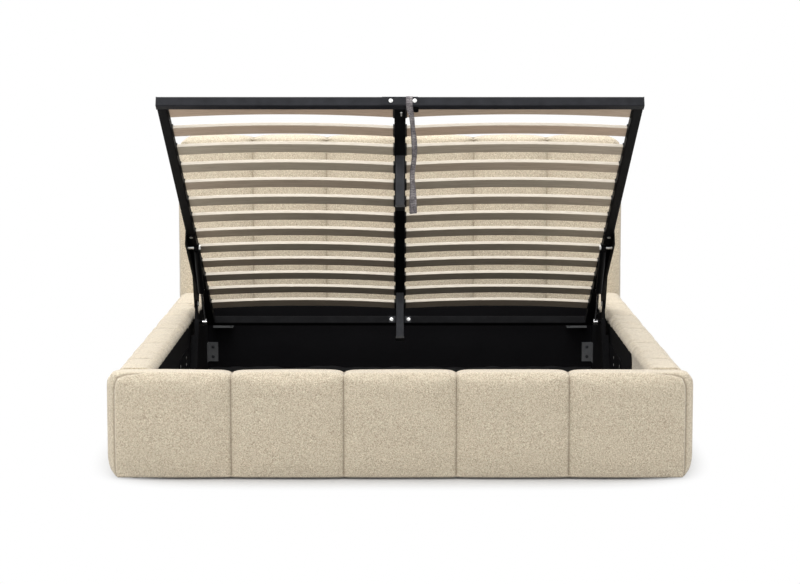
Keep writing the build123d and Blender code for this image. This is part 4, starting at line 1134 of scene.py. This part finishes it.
def storage_lining():
    xs = np.linspace(-lining_half, lining_half, 150)
    ys = np.linspace(foot_face_y + 0.111, foot_face_y + 2.1085, 190)
    gx, gy = np.meshgrid(xs, ys, indexing="ij")
    flat = np.stack([gx.ravel(), gy.ravel(), np.zeros(gx.size)], axis=1)
    low_folds = 0.5 + 0.5 * waves(flat * (1.0, 0.55, 1.0), (0.5, 0.23), 31)
    ripples = waves(flat * (0.35, 1.6, 1.0), (0.16, 0.09), 32)
    to_head = soft_step(flat[:, 1], 0.55, 0.97)
    edge = np.minimum(lining_half - np.abs(flat[:, 0]), flat[:, 1] - ys[0])
    calm = soft_step(edge, 0.0, 0.06)
    # It lies flat where the platform's centre legs come down
    for leg_y in leg_places:
        far = np.hypot(flat[:, 0], flat[:, 1] - leg_y)
        calm *= soft_step(far, 0.05, 0.16)
    height = (0.0035 * low_folds ** 2 + 0.0012 * ripples) * calm
    bank = to_head ** 2 * (0.005 + 0.004 * waves(flat * (1.0, 0.3, 1.0), (0.15, 0.07), 33))
    flat[:, 2] = floor_top + np.maximum(height, 0) + np.clip(bank, 0, 0.020)
    rows, columns = len(xs), len(ys)
    faces = [
        (i * columns + j, (i + 1) * columns + j, (i + 1) * columns + j + 1, i * columns + j + 1)
        for i in range(rows - 1) for j in range(columns - 1)
    ]
    piece = fresh("storage_lining_cloth", flat, faces, black_cloth)
    thick = piece.modifiers.new("thickness", "SOLIDIFY")
    thick.thickness, thick.offset = 0.0006, 1.0
    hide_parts("storage_cloth")
    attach(piece, "base")
    print("lining laid,", len(faces), "faces")


storage_lining()

# %% [markdown]
# ## Studio
# A broad lamp hangs above the foot of the bed, a weaker one stands in front and one on each side,
# and the world gives soft light from all round, so the tops of the rails are the brightest
# places. The floor is a pale sheet that takes the bed's shadow close to the bed. Farther out it
# fades to plain white for the camera, and for what is mirrored or seen through.


# %% Floor
def directly_seen(nodes):
    """1 for what the camera sees, also mirrored or through something clear, and 0 for other light."""
    seen = 0.0
    for kind in ("Camera", "Glossy", "Transmission"):
        ray = nodes.node("ShaderNodeLightPath", out=f"Is {kind} Ray")
        seen = ray.larger(seen)
    return seen


ground = Finish("studio_floor", Roughness=0.9)
greys = (0.3, (0.475, 0.475, 0.475)), (0.7, (0.50, 0.50, 0.50))
ground.wear(Base_Color=ground.ramp(ground.noise(2.0), *greys))
glow = ground.node("ShaderNodeEmission", {"Strength": 0.02})
white = ground.node("ShaderNodeEmission", {"Strength": 1.0})
across, along = (ground.part(ground.place, axis) for axis in "XY")
away = ((across * 0.66) ** 6 + (along * 0.5) ** 6) ** (1 / 6)
far = ground.node(
    "ShaderNodeMapRange", {"Value": away, "From Min": 0.575, "From Max": 0.66},
    interpolation_type="SMOOTHSTEP",
)
lit = Wire(ground, ground.shader.outputs[0])
lifted = ground.node("ShaderNodeAddShader", {0: lit, 1: glow})
faded = ground.node("ShaderNodeMixShader", {0: far, 1: lifted, 2: white})
chosen = ground.node("ShaderNodeMixShader", {0: directly_seen(ground), 1: lit, 2: faded})
ground.feed(ground.tree.nodes["Material Output"].inputs["Surface"], chosen)
floor_plane = fresh(
    "studio_floor", [(-30, -30, 0), (30, -30, 0), (30, 30, 0), (-30, 30, 0)], [(0, 1, 2, 3)],
    ground.material,
)
print("floor laid")

# %% World
room_light = 0.48
world = bpy.data.worlds.new("studio")
scene.world = world
world.use_nodes = True
sky = Nodes(world.node_tree)
background = sky.tree.nodes["Background"]
strength = directly_seen(sky) * (1.0 - room_light) + room_light
sky.feed(background.inputs["Strength"], strength)
sky.feed(background.inputs["Color"], (1.0, 1.0, 1.0))
print("world lit")


# %% Lamps
def soft_lamp(name, place, target, size, power):
    data = bpy.data.lights.new(name, "AREA")
    data.shape, data.size, data.size_y, data.energy = "RECTANGLE", size[0], size[1], power
    lamp = put(name, data)
    lamp.location = place
    lamp.rotation_euler = (Vector(target) - Vector(place)).to_track_quat("-Z", "Y").to_euler()


soft_lamp("top_lamp", (-0.3, -0.4, 4.6), (0, -0.3, 0.3), (3.2, 3.2), 254)
soft_lamp("front_lamp", (-0.7, -6.9, 2.4), (0, 0, 0.5), (3.5, 2.5), 98)
soft_lamp("left_lamp", (-4.8, -2.4, 2.4), (0, 0, 0.4), (2.5, 2.5), 104)
soft_lamp("right_lamp", (4.8, -2.4, 2.4), (0, 0, 0.4), (2.5, 2.5), 88)
print("studio lit")
